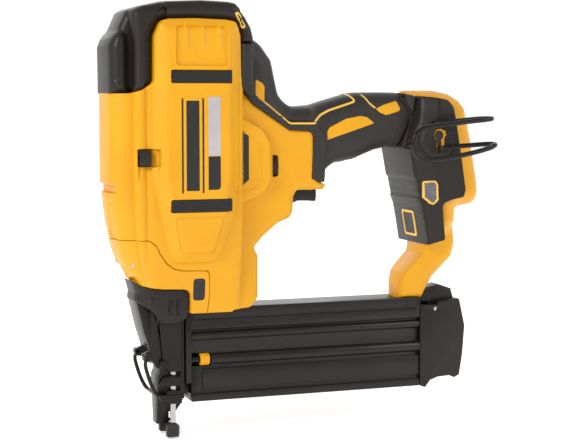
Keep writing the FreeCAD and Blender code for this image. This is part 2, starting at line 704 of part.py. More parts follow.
def make_door():
    """The jam door: a channel-shaped front that swings forward on a pin at its top."""
    body = plate("door_blank", "XZ_Plane",
                 [("-26.5", "98"), ("-27", "92"), ("-22", "71"), ("-18.2", "59"),
                  ("-23.5", "56.5"), ("-22.8", "52.5"), ("-16.5", "51.5"), ("-14", "47"),
                  ("-9.4", "45.4"), ("-6.2", "48"), ("-7", "52.5"), ("-12.5", "72"),
                  ("-14.4", "90"), ("-17", "97")], "2 * nose_half + 5.4")
    pocket(body, "door_channel", "XZ_Plane",
           [("-23.8", "99"), ("-24", "92"), ("-19.2", "71"), ("-15.6", "59"),
            ("-14.6", "44"), ("0", "44"), ("0", "99")], "2 * nose_half + 2 * gap")
    pocket(body, "bail_space", "XZ_Plane",
           [("-25", "60"), ("-25", "50"), ("-17.4", "50"), ("-17.4", "60")],
           "2 * nose_half - 2")
    closing = box("door_plate", ("-20", "-10.5 - gap"), ("-blade_width", "blade_width"),
                  ("61", "72"))
    parts = fuse("door_parts", body, closing)
    node(cut("jam_door", parts,
             rod("door_pin_hole", "y", "pin_r + fit", "60", (DOOR_PIN[0], "-30", DOOR_PIN[1])),
             rod("bail_pin_hole", "y", "1.1 + fit", "60", (BAIL_PIN[0], "-30", BAIL_PIN[1]))),
         "jam_door")
    brackets = [rod("door_pin_core", "y", "pin_r", "2 * front_half - 8",
                    (DOOR_PIN[0], "-front_half + 4", DOOR_PIN[1]))]
    node(fuse("door_pin", *brackets, box("door_pin_ear_left", ("-21", "-10.4"),
              ("-nose_half - 6", "-nose_half - 3.4"), ("88", "93")),
              box("door_pin_ear_right", ("-21", "-10.4"),
                  ("nose_half + 3.4", "nose_half + 6"), ("88", "93"))), "door_pin")
    heads = []
    for side, start in (("left", "-nose_half - 4.3"), ("right", "nose_half + 2.7")):
        heads.append(rod("rivet_" + side, "y", "2.8", "1.6", ("-9.4", start, "49.4")))
    node(fuse("door_rivets", *heads), "door_rivets")


def make_bail():
    """The wire bail that holds the jam door shut under the front of the nose."""
    half = size("nose_half") + 4.6
    x, z = float(BAIL_PIN[0]), float(BAIL_PIN[1])
    points = [V(x, half - 6, z), V(x, half, z), V(-18.4, half, 42), V(-15.2, half, 30.5),
              V(-13.9, half, 28), V(-13.9, -half, 28), V(-15.2, -half, 30.5),
              V(-18.4, -half, 42), V(x, -half, z), V(x, -half + 6, z)]
    moulding("latch_bail", swept(points, 1.6, 1.1))


make_shroud()
make_nosepiece()
make_trip()
make_door()
make_bail()


# ---------------------------------------------------------------- magazine
REAR = "mag_front + mag_length"
TOP = "mag_bottom + mag_height"
BEAM = "mag_bottom + mag_height - rail_height"


def make_rail():
    """The fixed rail under the body: a beam with a thin web that carries the nails."""
    web = box("nail_web", ("5.6", REAR), ("-web_half + 0.1", "web_half - 0.1"),
              ("mag_bottom + 4", f"{BEAM} + 1"))
    beam = box("rail_beam", ("mag_front", REAR), ("-mag_half", "mag_half"),
               (BEAM, f"{TOP} - 2.5"))
    step = box("rail_step", ("barrel_x + 28", REAR), ("-mag_half", "mag_half"),
               (f"{TOP} - 4", TOP))
    bracket = box("rail_bracket", ("mag_front", "mag_front + 3.9"),
                  ("-mag_half - 0.5", "mag_half + 0.5"), ("mag_bottom + 13", f"{BEAM} + 1"))
    room = []
    for side, low, high in (("left", "-mag_half - 1", "-mag_half + 0.9"),
                            ("right", "mag_half - 0.9", "mag_half + 1")):
        room.append(box("beam_groove_" + side, ("mag_front + 8", f"{REAR} - 4"),
                        (low, high), (f"{BEAM} + 6.5", f"{BEAM} + 8.5")))
    node(cut("magazine_rail", fuse("rail_parts", web, beam, step, bracket), *room),
         "magazine_rail")


def make_slide():
    """The sliding cover: two ribbed walls joined under the web."""
    start, top = "mag_front + 3.9 + gap", f"{BEAM} - gap"
    parts = [box("slide_core", (start, REAR), ("-mag_half + 2", "mag_half - 2"),
                 ("mag_bottom", top)),
             box("slide_foot", (start, REAR), ("-mag_half", "mag_half"),
                 ("mag_bottom", "mag_bottom + 5"))]
    for side, sign in (("left", "-"), ("right", "")):
        for number, (level, radius, first) in enumerate((("44.7", "3.1", start),
                                                         ("28.6", "4", "mag_front + 18"))):
            parts.append(rod(f"slide_rib_{side}_{number}", "x", radius,
                             f"{REAR} - ({first})",
                             (first, f"{sign}(mag_half - 3)", f"mag_bottom + {level}")))
        low = "-mag_half + 0.6" if sign else "mag_half - 2.5"
        high = "-mag_half + 2.5" if sign else "mag_half - 0.6"
        parts.append(box("slide_panel_" + side, ("mag_front + 12", REAR), (low, high),
                         ("mag_bottom + 8", "mag_bottom + 22")))
    track = box("slide_track", ("0", f"{REAR} + 1"), ("-mag_wall", "mag_wall"),
                ("mag_bottom + 2.6", "mag_bottom + mag_height"))
    bore = rod("slide_bore", "x", "2.2 + 2 * fit", "mag_length + 20",
               ("0", "-mag_half + 3", "mag_bottom + 28.6"))
    collar = rod("collar_room", "x", "4.2 + gap", "18",
                 ("mag_front", "-mag_half + 3", "mag_bottom + 28.6"))
    node(cut("magazine_slide", fuse("slide_parts", *parts), track, bore, collar),
         "magazine_slide")


def make_end_cap():
    """The cap that closes the back of the sliding cover and carries the latch."""
    start = f"{REAR} + gap"
    body = plate("end_cap_blank", "XZ_Plane",
                 [(start, "mag_bottom"), (f"{start} + 4", "mag_bottom - 1.5"),
                  (f"{start} + 8", "mag_bottom + 3.5"), (f"{start} + 14", "mag_bottom + 5.5"),
                  (f"{start} + 23", "mag_bottom + 6"), (f"{start} + 27", "mag_bottom + 4.2"),
                  (f"{start} + 31", "mag_bottom + 6"), (f"{start} + 33.5", "mag_bottom + 22"),
                  (f"{start} + 35", "mag_bottom + 42"), (f"{start} + 30.5", "mag_bottom + 62"),
                  (f"{start} + 14", f"{TOP} - 4"), (f"{start} + 14", f"{TOP} - 6"),
                  (start, f"{TOP} - 6")], "2 * mag_half + 1")
    round_off(body, "end_cap_edges", "1.5",
              lambda edge: edge.BoundBox.YLength > 20 and edge.BoundBox.XMin
              > value(f"{REAR} + 20"))
    hollow = box("end_cap_hollow", (f"{start} + 9", f"{start} + 28"),
                 ("-mag_half + 2", "mag_half - 2"), ("mag_bottom + 9", "mag_bottom + 52"))
    latch_room = box("latch_room", (f"{start} - 1", f"{start} + 40"), ("-6.4", "6.4"),
                     (f"{TOP} - 14", f"{TOP} + 5"))
    spring_room = rod("spring_room", "z", "2.6", "6", (f"{start} + 22", "0", f"{TOP} - 19"))
    pivot = rod("latch_hole", "y", "pin_r", "60", (f"{start} + 12", "-30", f"{TOP} - 9"))
    node(cut("magazine_end_cap", body, hollow, latch_room, spring_room, pivot),
         "magazine_end_cap")
    node(rod("latch_pin", "y", "pin_r", "2 * mag_half - 1",
             (f"{start} + 12", "-mag_half + 0.5", f"{TOP} - 9")), "latch_pin")
    node(tube("latch_spring", "z", "2.3", "1.6", "10", (f"{start} + 22", "0", f"{TOP} - 19")),
         "latch_spring")


def make_latch():
    """The sprung latch that rocks on its pin in the top of the end cap."""
    start = f"{REAR} + gap"
    body = plate("latch_blank", "XZ_Plane",
                 [(f"{start} + 1", f"{TOP} - 10.5"), (f"{start} + 3.4", f"{TOP} - 10.5"),
                  (f"{start} + 3.4", f"{TOP} - 4.2"), (f"{start} + 8.5", f"{TOP} - 4.2"),
                  (f"{start} + 10", f"{TOP} - 12"), (f"{start} + 14", f"{TOP} - 12"),
                  (f"{start} + 16", f"{TOP} - 8.6"), (f"{start} + 27.5", f"{TOP} - 8.6"),
                  (f"{start} + 29.5", f"{TOP} - 4"), (f"{start} + 27", f"{TOP} + 4.5"),
                  (f"{start} + 17", f"{TOP} + 8"), (f"{start} + 10", f"{TOP} + 6"),
                  (f"{start} + 5", f"{TOP} + 2.5"), (f"{start} + 3.6", f"{TOP} - 0.5"),
                  (f"{start} + 1", f"{TOP} - 1.5")], "11.6")
    node(cut("magazine_latch", body,
             rod("latch_bore", "y", "pin_r + fit", "60",
                 (f"{start} + 12", "-30", f"{TOP} - 9"))), "magazine_latch")


def make_pusher():
    """The pusher that drives the nails forward, straddling the web, and its spring."""
    block = box("pusher_block", ("mag_front + 5", "mag_front + 25"),
                ("-mag_wall + gap", "mag_wall - gap"),
                ("mag_bottom + 3.2", f"{BEAM} - gap - 0.4"))
    slot = box("pusher_slot", ("mag_front", "mag_front + 30"),
               ("-web_half - 0.3", "web_half + 0.3"), ("mag_bottom + 3.7", f"{TOP}"))
    node(cut("nail_pusher", block, slot), "nail_pusher")
    node(box("pusher_spring", ("mag_front + 25", f"{REAR}"),
             ("web_half + 0.3", "mag_wall - gap"), ("mag_bottom + 6", "mag_bottom + 10")),
         "pusher_spring")
    node(rod("magazine_rod", "x", "2.2", "mag_length - 30",
             ("mag_front + 3.9", "-mag_half + 3", "mag_bottom + 28.6")), "magazine_rod")
    node(tube("rod_collar", "x", "4.2", "2.2", "6.4",
              ("mag_front + 10.4", "-mag_half + 3", "mag_bottom + 28.6")), "rod_collar")


make_rail()
make_slide()
make_end_cap()
make_latch()
make_pusher()


# ---------------------------------------------------------------- drive
FRAME_BASE = "mag_bottom + mag_height + 34"


def make_frame():
    """The cast frame inside the barrel that carries the motor, rods and nose."""
    outer, inner = "frame_half", "frame_half - frame_plate"
    parts = [box("frame_base", ("-10", "barrel_x + 20"), (f"-({outer})", outer),
                 (FRAME_BASE, f"{FRAME_BASE} + 6")),
             box("frame_neck", ("-10", "16"), ("-nose_half - 6", "nose_half + 6"),
                 (f"{FRAME_BASE} - 12", FRAME_BASE)),
             box("frame_head", ("-10", "10"), (f"-({outer})", outer),
                 ("crown_z - 30", "crown_z - 24"))]
    for side, low, high in (("left", f"-({outer})", f"-({inner})"), ("right", inner, outer)):
        parts.append(box("frame_foot_" + side, ("-10", "barrel_x + 20"), (low, high),
                         (FRAME_BASE, "drive_z - 30")))
        parts.append(box("frame_wall_" + side, ("-10", "barrel_x + 30"), (low, high),
                         ("drive_z - 34", "drive_z + 26")))
        parts.append(box("frame_post_" + side, ("-10", "10"), (low, high),
                         ("drive_z", "crown_z - 24")))
    bore = rod("bearing_bore", "y", "bearing_r", "200", (FLY_X, "-100", "drive_z"))
    channel = box("frame_channel", ("-4.5", "4.5"), ("-9.6", "9.6"), ("100", "130"))
    rods = [rod("rod_hole_" + side, "z", "rod_r", "300", ("0", y, FRAME_BASE))
            for side, y in (("left", "-rod_pitch"), ("right", "rod_pitch"))]
    seat_hole = rod("trip_spring_seat", "z", "2.2", "3", ("-2.2", "-nose_half - 3.6", "107"))
    node(cut("drive_frame", fuse("frame_parts", *parts), bore, channel, *rods, seat_hole),
         "drive_frame")


FLY_X = "blade_half_block + gap + flywheel_r"


def make_driver():
    """The driver: a blade on a thick profile with a crosshead that runs on two rods."""
    top = "crown_z - 36"
    low = "mag_bottom + mag_height + 12.5 + stroke"
    parts = [box("blade", ("-blade_thick / 2", "blade_thick / 2"),
                 ("-blade_width / 2", "blade_width / 2"),
                 ("mag_bottom + mag_height + 10.5", f"{low} + 10")),
             box("profile", ("-blade_half_block", "blade_half_block"), ("-7", "7"),
                 (low, top)),
             box("crosshead", ("-blade_half_block", "blade_half_block"),
                 ("-rod_pitch", "rod_pitch"), (f"{top} - 8", top))]
    parts += [rod("crosshead_boss_" + side, "z", "rod_r + 2", "8", ("0", y, f"{top} - 8"))
              for side, y in (("left", "-rod_pitch"), ("right", "rod_pitch"))]
    bores = [rod("crosshead_bore_" + side, "z", "rod_r + fit", "400", ("0", y, "0"))
             for side, y in (("left", "-rod_pitch"), ("right", "rod_pitch"))]
    node(cut("driver", fuse("driver_parts", *parts), *bores), "driver")
    node(pair("guide_rods", lambda name, y: rod(
        name, "z", "rod_r", f"crown_z - 24 - ({FRAME_BASE})", ("0", y, FRAME_BASE))),
        "guide_rods")
    node(pair("bumpers", lambda name, y: tube(
        name, "z", "5", "rod_r", "12", ("0", y, f"{FRAME_BASE} + 6"))), "bumpers")
    node(pair("return_springs", lambda name, y: tube(
        name, "z", "4.4", "3.4", f"{top} - 8 - ({FRAME_BASE} + 18)",
        ("0", y, f"{FRAME_BASE} + 18"))), "return_springs")


def pair(name, make):
    """The same piece on both guide rods, as two separate solids."""
    return fuse(name, make(name + "_left", "-rod_pitch"), make(name + "_right", "rod_pitch"))


def make_motor():
    """The brushless motor: a flywheel rotor around a fixed stator, on one shaft."""
    body = turned("flywheel", "y",
                  [("axle_r", "-5"), ("flywheel_r - 5", "-5"), ("flywheel_r - 5", "-flywheel_half"),
                   ("flywheel_r", "-flywheel_half"), ("flywheel_r", "flywheel_half"),
                   ("flywheel_r - 5", "flywheel_half"), ("flywheel_r - 5", "-2"),
                   ("axle_r", "-2")], (FLY_X, "0", "drive_z"))
    node(body, "flywheel")
    node(rod("motor_shaft", "y", "axle_r", "2 * frame_half + 2",
             (FLY_X, "-frame_half - 1", "drive_z")), "motor_shaft")
    hub = rod("stator_hub", "y", "9", "frame_half - bearing_width + 1.2", (FLY_X, "-1.2", "drive_z"))
    core = rod("stator_core", "y", "flywheel_r - 5.6", "flywheel_half - 1",
               (FLY_X, "-1.2", "drive_z"))
    base = box("stator_base", (f"{FLY_X} - 14", f"{FLY_X} + 14"),
               ("flywheel_half + 3", "flywheel_half + 6"), ("drive_z - 14", "drive_z + 14"))
    node(cut("motor_stator", fuse("stator_parts", hub, core, base),
             rod("stator_bore", "y", "axle_r + gap", "100", (FLY_X, "-50", "drive_z"))),
         "motor_stator")
    races = [tube("bearing_" + side, "y", "bearing_r", "axle_r + fit", "bearing_width",
                  (FLY_X, start, "drive_z"))
             for side, start in (("left", "-frame_half - 1"),
                                 ("right", "frame_half + 1 - bearing_width"))]
    node(fuse("bearing_pair", *races), "motor_bearings")


ROLLER_X = "-blade_half_block - 1 - roller_r"
ARM_PIN = (ROLLER_X + " + 2", "drive_z - 26")


def make_pinch_arm():
    """The pinch roller on its rocking arm, which presses the driver on the flywheel."""
    plates = []
    for side, low, high in (("left", "-12", "-9"), ("right", "9", "12")):
        plates.append(box("arm_plate_" + side, (f"{ROLLER_X} - 4", f"{ROLLER_X} + 4"),
                          (low, high), ("drive_z - 31", "drive_z + 14")))
    bridge = box("arm_bridge", (f"{ROLLER_X} - 4", f"{ROLLER_X} + 1.5"), ("-12", "12"),
                 ("drive_z + 9", "drive_z + 14"))
    node(cut("pinch_arm", fuse("arm_parts", *plates, bridge),
             rod("arm_pivot_bore", "y", "2 + fit", "60", (ARM_PIN[0], "-30", ARM_PIN[1])),
             rod("arm_roller_bore", "y", "2", "60", (ROLLER_X, "-30", "drive_z"))),
         "pinch_arm")
    node(rod("arm_pivot_pin", "y", "2", "2 * (frame_half - frame_plate)",
             (ARM_PIN[0], "-frame_half + frame_plate", ARM_PIN[1])), "arm_pivot_pin")
    node(rod("roller_axle", "y", "2", "24", (ROLLER_X, "-12", "drive_z")), "roller_axle")
    node(tube("pinch_roller", "y", "roller_r", "2 + fit", "16", (ROLLER_X, "-8", "drive_z")),
         "pinch_roller")


def make_solenoid():
    """The solenoid in the nose of the barrel that pulls the pinch roller in."""
    axis_z = "drive_z + 11.5"
    start = "-front_reach + 4.5"
    node(tube("solenoid", "x", "8.5", "3 + 2 * fit", "16", (start, "0", axis_z)), "solenoid")
    node(rod("solenoid_plunger", "x", "3",
             f"({ROLLER_X} - 4 - 0.35) - ({start} + 3)", (f"{start} + 3", "0", axis_z)),
         "solenoid_plunger")


make_frame()
make_driver()
make_motor()
make_pinch_arm()
make_solenoid()


# ---------------------------------------------------------------- controls
def make_trigger():
    """The trigger on its pin, the switch behind it and the return spring."""
    body = plate("trigger_blank", "XZ_Plane",
                 [("trigger_x - 3", "trigger_z - 16.5"), ("trigger_x - 1.5", "trigger_z - 4"),
                  ("trigger_x", "trigger_z + 2"), ("trigger_x + 8", "trigger_z + 3.2"),
                  ("trigger_x + 18.6", "trigger_z + 1"), ("trigger_x + 18.4", "trigger_z - 9"),
                  ("trigger_x + 12.5", "trigger_z - 9"), ("trigger_x + 5", "trigger_z - 9"),
                  ("trigger_x + 1.3", "trigger_z - 11.5")], "2 * trigger_half")
    round_off(body, "trigger_edges", "1", along(V(0, 1, 0)))
    node(cut("trigger", body,
             rod("trigger_bore", "y", "pin_r + fit", "60",
                 ("trigger_x + 4", "-30", "trigger_z - 1"))), "trigger")
    node(rod("trigger_pin", "y", "pin_r", "2 * neck_half - 6",
             ("trigger_x + 4", "-neck_half + 3", "trigger_z - 1")), "trigger_pin")
    switch = fuse("switch_parts",
                  box("switch_case", ("trigger_x + 2", "trigger_x + 17"), ("-6", "6"),
                      ("trigger_z + 8", "trigger_z + 22")),
                  rod("switch_button", "z", "1.8", "3", ("trigger_x + 15.5", "0",
                                                         "trigger_z + 5.6")))
    node(switch, "trigger_switch")
    node(tube("trigger_spring", "z", "1.9", "1.3", "4.6", ("trigger_x + 9.5", "0",
                                                          "trigger_z + 3.3")), "trigger_spring")


def make_depth_wheel():
    """The knurled wheel that sets the nailing depth, on a screw through its hub."""
    ring = rod("wheel_disc", "x", "wheel_r", "wheel_width",
               ("wheel_x - wheel_width / 2", "0", "wheel_z"))
    bore = rod("wheel_bore", "x", "2.5 + fit", "40", ("wheel_x - 20", "0", "wheel_z"))
    node(cut("depth_wheel", ring, bore), "depth_wheel")
    node(rod("depth_screw", "x", "2.5", "15",
             ("wheel_x - 7", "0", "wheel_z")), "depth_screw")


def make_stall_lever():
    """The small lever in the side slot that frees a stalled flywheel."""
    parts = [box("stall_knob", ("-28.6", "-21"), ("-shoulder_half - 1.6", "-shoulder_half + 4"),
                 ("184", "194")),
             box("stall_stem", ("-26.5", "-23"), ("-shoulder_half + 3.4", "-shoulder_half + 9"),
                 ("186.5", "191.5"))]
    node(fuse("stall_lever", *parts), "stall_lever")


def make_foot_inside():
    """What sits in the foot: battery rails, terminals, controller, lamp board."""
    lean = size("foot_tilt")
    block = slab([(0, 0), (4, 0), (4, 66), (0, 66)], -24.6, 24.6)
    for y in (-21, 21):
        post = Part.makeBox(5.6, 3, 60, V(4, y - 1.5, 0))
        lip = Part.makeBox(2.4, 6.2, 60, V(7.2, -24.2 if y < 0 else 18, 0))
        block = block.fuse(post).fuse(lip)
    block = block.fuse(Part.makeBox(7, 26, 26, V(4, -13, 30)))
    for number in range(4):
        block = block.cut(Part.makeBox(8, 1.2, 28, V(4.5, -8.4 + number * 5.2, 29)))
    rails = block
    turn = FreeCAD.Placement(V(foot_x + 25.2, 0, low_foot + 3),
                             FreeCAD.Rotation(V(0, 1, 0), -lean))
    rails = rails.transformed(turn.toMatrix())
    moulding("battery_rails", rails)
    blades = [Part.makeBox(5.6, 0.8, 20, V(5.1, -8.2 + number * 5.2, 33)).transformed(
        turn.toMatrix()) for number in range(4)]
    moulding("battery_terminals", Part.makeCompound(blades))
    node(box("controller", ("foot_x - 17", "foot_x + 6"), ("-21", "21"),
             ("foot_z - 18", "foot_z + 12")), "controller")
    node(box("lamp_board", ("foot_x - 15.5", "foot_x - 8"), ("-foot_half + wall + 1",
                                                            "foot_half - wall - 1"),
             ("foot_z - 36", "foot_z - 34.4")), "lamp_board")


def make_hook_fixings():
    """The screw that holds the belt hook and the brass insert for it on the other side."""
    x, z = "foot_x - 5.5", "foot_z + 7"
    node(fuse("hook_screw", rod("hook_screw_head", "y", "3.1", "1.8",
              (x, "-foot_half - foot_cover - 1.9", z)),
              rod("hook_screw_shank", "y", "insert_bore", "9",
                  (x, "-foot_half - foot_cover - 0.2", z))), "hook_screw")
    inserts = [tube("hook_insert_" + side, "y", "insert_r", "insert_bore",
                    "foot_cover + wall + 1", (x, start, z))
               for side, start in (("left", "-foot_half - foot_cover"),
                                   ("right", "foot_half - wall - 1"))]
    node(fuse("insert_pair", *inserts), "hook_inserts")


make_trigger()
make_depth_wheel()
make_stall_lever()
make_foot_inside()
make_hook_fixings()


def check_and_export():
    """Stop on any failed object, then write each sub-part to its own file."""
    doc.recompute()
    for item in doc.Objects:
        if "Invalid" in item.State or "Error" in item.State:
            raise ValueError(f"{item.Label} failed: {item.State}")
    os.makedirs("parts", exist_ok=True)
    for item in NODES:
        if item.Shape.isNull() or not item.Shape.isValid():
            raise ValueError(f"{item.Label} has no valid shape")
        print(item.Label, len(item.Shape.Solids), round(item.Shape.Volume),
              [round(n, 1) for n in (item.Shape.BoundBox.XMin, item.Shape.BoundBox.XMax,
                                     item.Shape.BoundBox.YMin, item.Shape.BoundBox.YMax,
                                     item.Shape.BoundBox.ZMin, item.Shape.BoundBox.ZMax)])
        item.Shape.exportStep(os.path.join("parts", item.Label + ".step"))


check_and_export()
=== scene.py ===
import json
import math
import bmesh
import bpy
import numpy as np
from mathutils import Matrix, Vector
from mathutils.geometry import delaunay_2d_cdt


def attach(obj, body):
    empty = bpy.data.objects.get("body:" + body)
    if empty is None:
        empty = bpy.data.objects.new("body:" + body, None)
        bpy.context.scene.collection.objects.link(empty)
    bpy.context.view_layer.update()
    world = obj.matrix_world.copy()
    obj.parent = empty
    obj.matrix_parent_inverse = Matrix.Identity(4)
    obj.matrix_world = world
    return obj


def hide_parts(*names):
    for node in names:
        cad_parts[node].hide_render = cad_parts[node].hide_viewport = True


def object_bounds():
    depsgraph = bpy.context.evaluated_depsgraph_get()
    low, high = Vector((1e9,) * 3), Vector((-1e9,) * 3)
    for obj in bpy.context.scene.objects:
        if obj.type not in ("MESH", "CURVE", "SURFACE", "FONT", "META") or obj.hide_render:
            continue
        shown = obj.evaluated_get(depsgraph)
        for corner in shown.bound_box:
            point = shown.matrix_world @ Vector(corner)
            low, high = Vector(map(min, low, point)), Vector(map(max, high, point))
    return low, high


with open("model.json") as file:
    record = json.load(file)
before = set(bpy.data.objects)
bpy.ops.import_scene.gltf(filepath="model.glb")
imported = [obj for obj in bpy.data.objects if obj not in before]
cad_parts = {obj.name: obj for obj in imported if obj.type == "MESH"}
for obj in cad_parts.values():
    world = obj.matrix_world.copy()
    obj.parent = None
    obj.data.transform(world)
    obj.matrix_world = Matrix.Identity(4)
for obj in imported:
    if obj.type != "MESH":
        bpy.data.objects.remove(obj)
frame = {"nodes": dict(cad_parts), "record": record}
cad_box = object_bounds()


# ---------------------------------------------------------------- view and light
# The tool stands on its nose, seen from its left and a little from the front, from about
# a metre away: the camera is level with the side panel and looks slightly down.
def look(name, place, azimuth, pitch):
    """A camera turned so that it looks along one direction."""
    a, p = math.radians(azimuth), math.radians(pitch)
    to = Vector((math.sin(a) * math.cos(p), math.cos(a) * math.cos(p), -math.sin(p)))
    data = bpy.data.cameras.new(name)
    item = bpy.data.objects.new(name, data)
    item.matrix_world = Matrix.Translation(place) @ to.to_track_quat("-Z", "Y").to_matrix().to_4x4()
    bpy.context.scene.collection.objects.link(item)
    return item


camera = look("camera", Vector((-0.2629, -0.9676, 0.2292)), 20.0, 4.8)
camera.data.lens = 90.4
camera.data.sensor_width = 36.0
camera.data.sensor_fit = "HORIZONTAL"
bpy.context.scene.camera = camera


def soft_lamp(name, place, target, width, power):
    """A square studio lamp turned to a point."""
    data = bpy.data.lights.new(name, "AREA")
    data.shape = "RECTANGLE"
    data.size = width
    data.size_y = width
    data.energy = power
    item = bpy.data.objects.new(name, data)
    away = Vector(target) - Vector(place)
    item.matrix_world = Matrix.Translation(place) @ away.to_track_quat("-Z", "Y").to_matrix().to_4x4()
    bpy.context.scene.collection.objects.link(item)


soft_lamp("key_lamp", (-1.25, -0.75, 0.95), (0.05, 0, 0.16), 0.5, 13)
soft_lamp("fill_lamp", (1.1, -0.8, 0.7), (0.08, 0, 0.15), 0.5, 4)
soft_lamp("back_lamp", (0.2, 1.2, 0.9), (0.08, 0, 0.15), 1.0, 4)
world = bpy.data.worlds.new("studio")
world.use_nodes = True
world.node_tree.nodes["Background"].inputs["Color"].default_value = (1, 1, 1, 1)
world.node_tree.nodes["Background"].inputs["Strength"].default_value = 0.57
bpy.context.scene.world = world
bpy.context.scene.view_settings.view_transform = "Standard"


# ---------------------------------------------------------------- materials
# Moulded yellow nylon, black glass-filled nylon, soft rubber, blacked and bright steel,
# anodised aluminium, brass and lamp lens, each a small procedural shader.
def linear(code):
    """A colour written as hex, in linear light."""
    parts = [int(code[i:i + 2], 16) / 255 for i in (1, 3, 5)]
    return [c / 12.92 if c <= 0.04045 else ((c + 0.055) / 1.055) ** 2.4 for c in parts] + [1]


def add(tree, kind, links=(), **values):
    """Add one shader node with its values set and its inputs linked."""
    item = tree.nodes.new(kind)
    for key, what in values.items():
        if key in item.inputs:
            item.inputs[key].default_value = what
        else:
            setattr(item, key, what)
    for socket, source in links:
        tree.links.new(source, item.inputs[socket])
    return item


def finish_of(name, colour, shade, rough, metal=0.0, grain_mm=0.5, depth=0.12, spread=0.06,
              coat=0.0, spec=0.5):
    """A surface with a moulded or blasted grain and an uneven sheen.

    The grain scatters small highlights, and the slow noise moves both colour and
    roughness a little so that no face is flat."""
    item = bpy.data.materials.new(name)
    item.use_nodes = True
    tree = item.node_tree
    tree.nodes.clear()
    where = add(tree, "ShaderNodeTexCoord")
    slow = add(tree, "ShaderNodeTexNoise", [("Vector", where.outputs["Object"])],
               Scale=28.0, Detail=3.0)
    fine = add(tree, "ShaderNodeTexNoise", [("Vector", where.outputs["Object"])],
               Scale=1000.0 / grain_mm, Detail=2.0)
    tint = add(tree, "ShaderNodeValToRGB", [("Fac", slow.outputs["Fac"])])
    tint.color_ramp.elements[0].position = 0.35
    tint.color_ramp.elements[0].color = linear(shade)
    tint.color_ramp.elements[1].position = 0.65
    tint.color_ramp.elements[1].color = linear(colour)
    sheen = add(tree, "ShaderNodeMapRange", [("Value", slow.outputs["Fac"])])
    sheen.inputs["To Min"].default_value = rough - spread
    sheen.inputs["To Max"].default_value = rough + spread
    bump = add(tree, "ShaderNodeBump", [("Height", fine.outputs["Fac"])])
    bump.inputs["Strength"].default_value = depth
    bump.inputs["Distance"].default_value = 0.0002
    body = add(tree, "ShaderNodeBsdfPrincipled",
               [("Base Color", tint.outputs["Color"]), ("Roughness", sheen.outputs["Result"]),
                ("Normal", bump.outputs["Normal"])], Metallic=metal)
    body.inputs["Coat Weight"].default_value = coat
    body.inputs["Specular IOR Level"].default_value = spec
    add(tree, "ShaderNodeOutputMaterial", [("Surface", body.outputs["BSDF"])])
    return item


# Moulded nylon has a fine spark-eroded grain and a soft, low sheen.
yellow = finish_of("yellow_nylon", "#E6A40D", "#E19E0A", 0.42, spec=0.35)
black = finish_of("black_nylon", "#211B17", "#1D1713", 0.42, spec=0.35)
# Soft moulded rubber is duller and its grain coarser.
rubber = finish_of("grip_rubber", "#241F1B", "#201B17", 0.55, grain_mm=0.8, depth=0.2)
# A lighter copy of the yellow nylon for thin raised edges and lips: painted highlight where they catch the
# light.
painted_highlight_yellow = finish_of("yellow_painted_highlight", "#F3C250", "#F0BC46", 0.4)
# Black laid into grilles, hollows and openings as painted shade, where the light does not reach.
painted_shade_black = finish_of("painted_shade_black_nylon", "#211E1D", "#1B1918", 0.5)
# Oiled black oxide and black anodising keep some of the metal's own shine.
blacked = finish_of("blacked_steel", "#211D1A", "#1B1816", 0.34, metal=0.5, depth=0.08)
anodised = finish_of("black_anodised_aluminium", "#211D1A", "#1C1816", 0.34, metal=0.35,
                     grain_mm=0.35, depth=0.1)
# Ground steel, drawn spring wire and turned brass are bare metal.
bright = finish_of("bright_steel", "#C9C9CC", "#B6B6BA", 0.26, metal=1.0, depth=0.05)
spring = finish_of("spring_steel", "#9A9A9E", "#87878B", 0.3, metal=1.0, depth=0.05)
brass = finish_of("brass", "#C9A55A", "#B8934A", 0.3, metal=1.0, depth=0.05)
# The lacquered board, the clear moulded lamp lens, and the printed film of the labels.
board = finish_of("circuit_board", "#2F5B3A", "#284F32", 0.5)
lens = finish_of("lamp_lens", "#6E6974", "#4C4852", 0.1, grain_mm=3.0, depth=0.3, coat=0.6)
grey = finish_of("label_grey", "#B9B4B4", "#B1ACAC", 0.5)
ink = finish_of("label_black", "#1B1817", "#161413", 0.4)

BY_SLOT = {"yellow_abs": yellow, "yellow_trim": yellow, "black_nylon": black,
           "grip_rubber": rubber, "black_steel": blacked, "black_aluminium": anodised,
           "bright_steel": bright, "spring_steel": spring, "brass": brass,
           "circuit_board": board, "lamp_clear": lens}
SLOT_OF = {part["node"]: part["material_slot"] for part in frame["record"]["subparts"]}
for node_name, node in frame["nodes"].items():
    node.data.materials.clear()
    node.data.materials.append(BY_SLOT[SLOT_OF[node_name]])


# ---------------------------------------------------------------- moulded body, both halves
# The two yellow nylon halves of the body, split along the middle: barrel, raised side
# panel, neck behind it, the core of the handle and the foot.  Each is a hollow moulding
# whose outer face is a half width read from a set of overlapping forms.
def rounded(points, step=1.1):
    """A closed outline with its corners rounded, as closely spaced points (mm)."""
    out, count = [], len(points)
    for i in range(count):
        a, b, c = (np.array(points[(i + k) % count][:2], float) for k in (-1, 0, 1))
        want = points[i][2] if len(points[i]) > 2 else 0.0
        u, w = (a - b) / np.linalg.norm(a - b), (c - b) / np.linalg.norm(c - b)
        half = math.acos(max(-1.0, min(1.0, float(u @ w)))) / 2
        room = 0.49 * min(np.linalg.norm(a - b), np.linalg.norm(c - b))
        reach = min(want / max(math.tan(half), 1e-3), room)
        if reach < 0.05:
            out.append(b)
            continue
        start, end = b + u * reach, b + w * reach
        for t in np.linspace(0, 1, 7):
            out.append((1 - t) ** 2 * start + 2 * t * (1 - t) * b + t * t * end)
    dense = []
    for p, q in zip(out, out[1:] + out[:1]):
        parts = max(1, int(np.linalg.norm(q - p) / step))
        dense += [p + (q - p) * k / parts for k in range(parts)]
    keep = [dense[0]]
    for p in dense[1:]:
        if np.linalg.norm(p - keep[-1]) > 0.12:
            keep.append(p)
    return np.array(keep)


